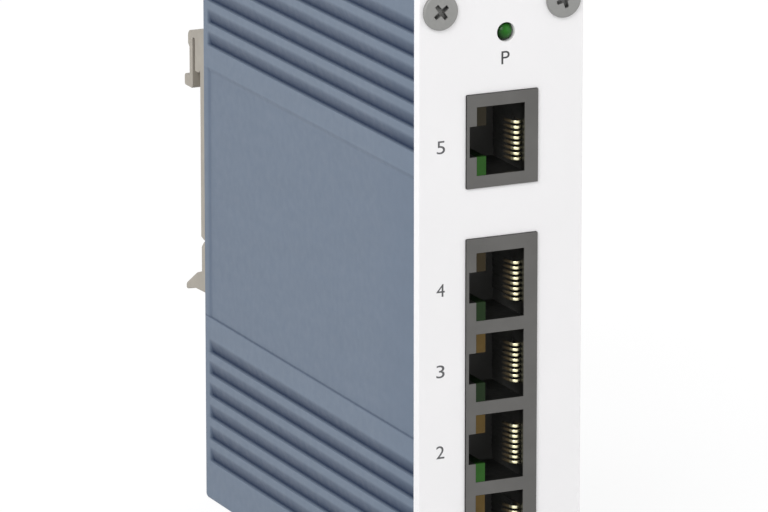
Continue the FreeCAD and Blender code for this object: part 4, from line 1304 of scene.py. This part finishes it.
# ---------------------------------------------------------------- stage
# Name, place in metres, side in metres and power in watts of each soft light
LIGHTS = (("key", (-0.75, -0.75, 0.85), 0.7, 7.5),
          ("side", (-1.0, 0.35, 0.38), 0.9, 3.7),
          ("fill", (0.8, -0.8, 0.45), 0.9, 2.5))
WORLD_LIGHT = 0.55               # strength of the light from the surroundings
FLOOR_SHOWN = 1.12               # level of the floor's glow to the camera
FLOOR_SHARE = 0.75               # share of that glow; the rest keeps the shadow
FLOOR_REACH = 12                 # half side of the floor in lengths of the device's box
SENSOR = 36.0                    # width of the camera's sensor in millimetres
NEAREST, FARTHEST = 0.05, 20.0   # metres that the camera sees between
WHITE = (1.0, 1.0, 1.0, 1.0)


def area_light(name, place, target, size, power):
    """Square soft light aimed at a point."""
    data = bpy.data.lights.new(name, "AREA")
    data.shape = "SQUARE"
    data.size = size
    data.energy = power
    light = bpy.data.objects.new(name, data)
    light.location = place
    light.rotation_euler = (Vector(target) - Vector(place)).to_track_quat("-Z", "Y").to_euler()
    bpy.context.scene.collection.objects.link(light)


def shown_level(nodes, links, lit, shown):
    """One number for light that falls on things, and another for what the camera sees,
    directly, mirrored or through glass."""
    ray = nodes.new("ShaderNodeLightPath")
    seen = ray.outputs["Is Camera Ray"]
    for kind in ("Is Glossy Ray", "Is Transmission Ray"):
        either = nodes.new("ShaderNodeMath")
        either.operation = "MAXIMUM"
        links.new(seen, either.inputs[0])
        links.new(ray.outputs[kind], either.inputs[1])
        seen = either.outputs["Value"]
    level = nodes.new("ShaderNodeMapRange")
    level.inputs["To Min"].default_value = lit
    level.inputs["To Max"].default_value = shown
    links.new(seen, level.inputs["Value"])
    return level.outputs["Result"]


def studio_world(strength):
    """White surroundings: full white to the camera and in reflections, softer as light."""
    world = bpy.data.worlds.new("studio")
    bpy.context.scene.world = world
    world.use_nodes = True
    nodes, links = world.node_tree.nodes, world.node_tree.links
    links.new(shown_level(nodes, links, strength, 1.0), nodes["Background"].inputs["Strength"])
    nodes["Background"].inputs["Color"].default_value = WHITE


def floor_finish(settings):
    """Pale floor that shows white to the camera yet keeps the device's soft shadow."""
    base = settings.floor
    done = Finish("studio floor", base, roughness=0.8, Specular_IOR_Level=0.1)
    done.paint(done.mottle(base, amount=0.004, scale=6.0))
    glow = done.nodes.new("ShaderNodeEmission")
    glow.inputs["Color"].default_value = WHITE
    glow.inputs["Strength"].default_value = FLOOR_SHOWN
    mix = done.nodes.new("ShaderNodeMixShader")
    share = shown_level(done.nodes, done.links, 0.0, FLOOR_SHARE)
    out = done.nodes["Material Output"]
    done.links.new(share, mix.inputs["Fac"])
    done.links.new(done.shader.outputs["BSDF"], mix.inputs[1])
    done.links.new(glow.outputs["Emission"], mix.inputs[2])
    done.links.new(mix.outputs["Shader"], out.inputs["Surface"])
    return done.material


class SWITCH_OT_stage(bpy.types.Operator):
    """Floor, soft lights, surroundings and camera"""
    bl_idname = "switch.stage"
    bl_label = "Stage"

    def execute(self, context):
        s = context.scene.switch_stage
        low, high = CAD_BOX
        reach = FLOOR_REACH * (high - low).length
        corners = np.array([[-1, -1, 0], [1, -1, 0], [1, 1, 0], [-1, 1, 0]]) * reach
        mesh = bpy.data.meshes.new("studio_floor")
        mesh.from_pydata((corners + [0, 0, low.z]).tolist(), [], [(0, 1, 2, 3)])
        mesh.materials.append(floor_finish(s))
        floor = bpy.data.objects.new("studio_floor", mesh)
        context.scene.collection.objects.link(floor)

        target = ((low + high) / 2)[:]
        for name, place, side, power in LIGHTS:
            area_light(name, place, target, side, power)
        studio_world(WORLD_LIGHT)

        camera = bpy.data.objects.new("camera", bpy.data.cameras.new("camera"))
        camera.data.sensor_width = SENSOR
        camera.data.lens = s.lens
        level = math.cos(s.elevation)
        back = Vector((-math.sin(s.azimuth) * level, -math.cos(s.azimuth) * level,
                       math.sin(s.elevation)))
        aim = Vector((s.aim_x, PANEL_LOW.y, low.z + s.aim_z))
        camera.location = aim + back * s.distance
        camera.rotation_euler = (math.pi / 2 - s.elevation, 0.0, -s.azimuth)
        camera.data.clip_start = NEAREST
        camera.data.clip_end = FARTHEST
        context.scene.collection.objects.link(camera)
        context.scene.camera = camera
        context.scene.view_settings.view_transform = "Standard"
        return {"FINISHED"}


# ---------------------------------------------------------------- add-on
class SWITCH_PT_build(bpy.types.Panel):
    """Buttons that build each group of pieces"""
    bl_idname = "SWITCH_PT_build"
    bl_label = "Network switch"
    bl_space_type = "VIEW_3D"
    bl_region_type = "UI"
    bl_category = "Switch"

    def draw(self, context):
        for builder in BUILDERS:
            self.layout.operator(builder.bl_idname)


SETTINGS = {
    "switch_housing": HousingSettings,
    "switch_panel": PanelSettings,
    "switch_screws": ScrewSettings,
    "switch_sockets": SocketSettings,
    "switch_wires": WireSettings,
    "switch_lens": LensSettings,
    "switch_inlet": InletSettings,
    "switch_clip": ClipSettings,
    "switch_stage": StageSettings,
}
BUILDERS = (SWITCH_OT_housing, SWITCH_OT_panel, SWITCH_OT_legend, SWITCH_OT_screws,
            SWITCH_OT_sockets, SWITCH_OT_wires, SWITCH_OT_indicator, SWITCH_OT_inlet,
            SWITCH_OT_clip, SWITCH_OT_spring, SWITCH_OT_inside, SWITCH_OT_stage)


def register():
    """Adds the settings, the operators and the panel."""
    for kind in (*SETTINGS.values(), *BUILDERS, SWITCH_PT_build):
        bpy.utils.register_class(kind)
    for name, kind in SETTINGS.items():
        setattr(bpy.types.Scene, name, PointerProperty(type=kind))


def unregister():
    """Takes them away again."""
    for name in SETTINGS:
        delattr(bpy.types.Scene, name)
    for kind in reversed((*SETTINGS.values(), *BUILDERS, SWITCH_PT_build)):
        bpy.utils.unregister_class(kind)


def main():
    """Builds every piece in order."""
    register()
    for builder in BUILDERS:
        group, name = builder.bl_idname.split(".")
        getattr(getattr(bpy.ops, group), name)()


if __name__ == "__main__":
    main()
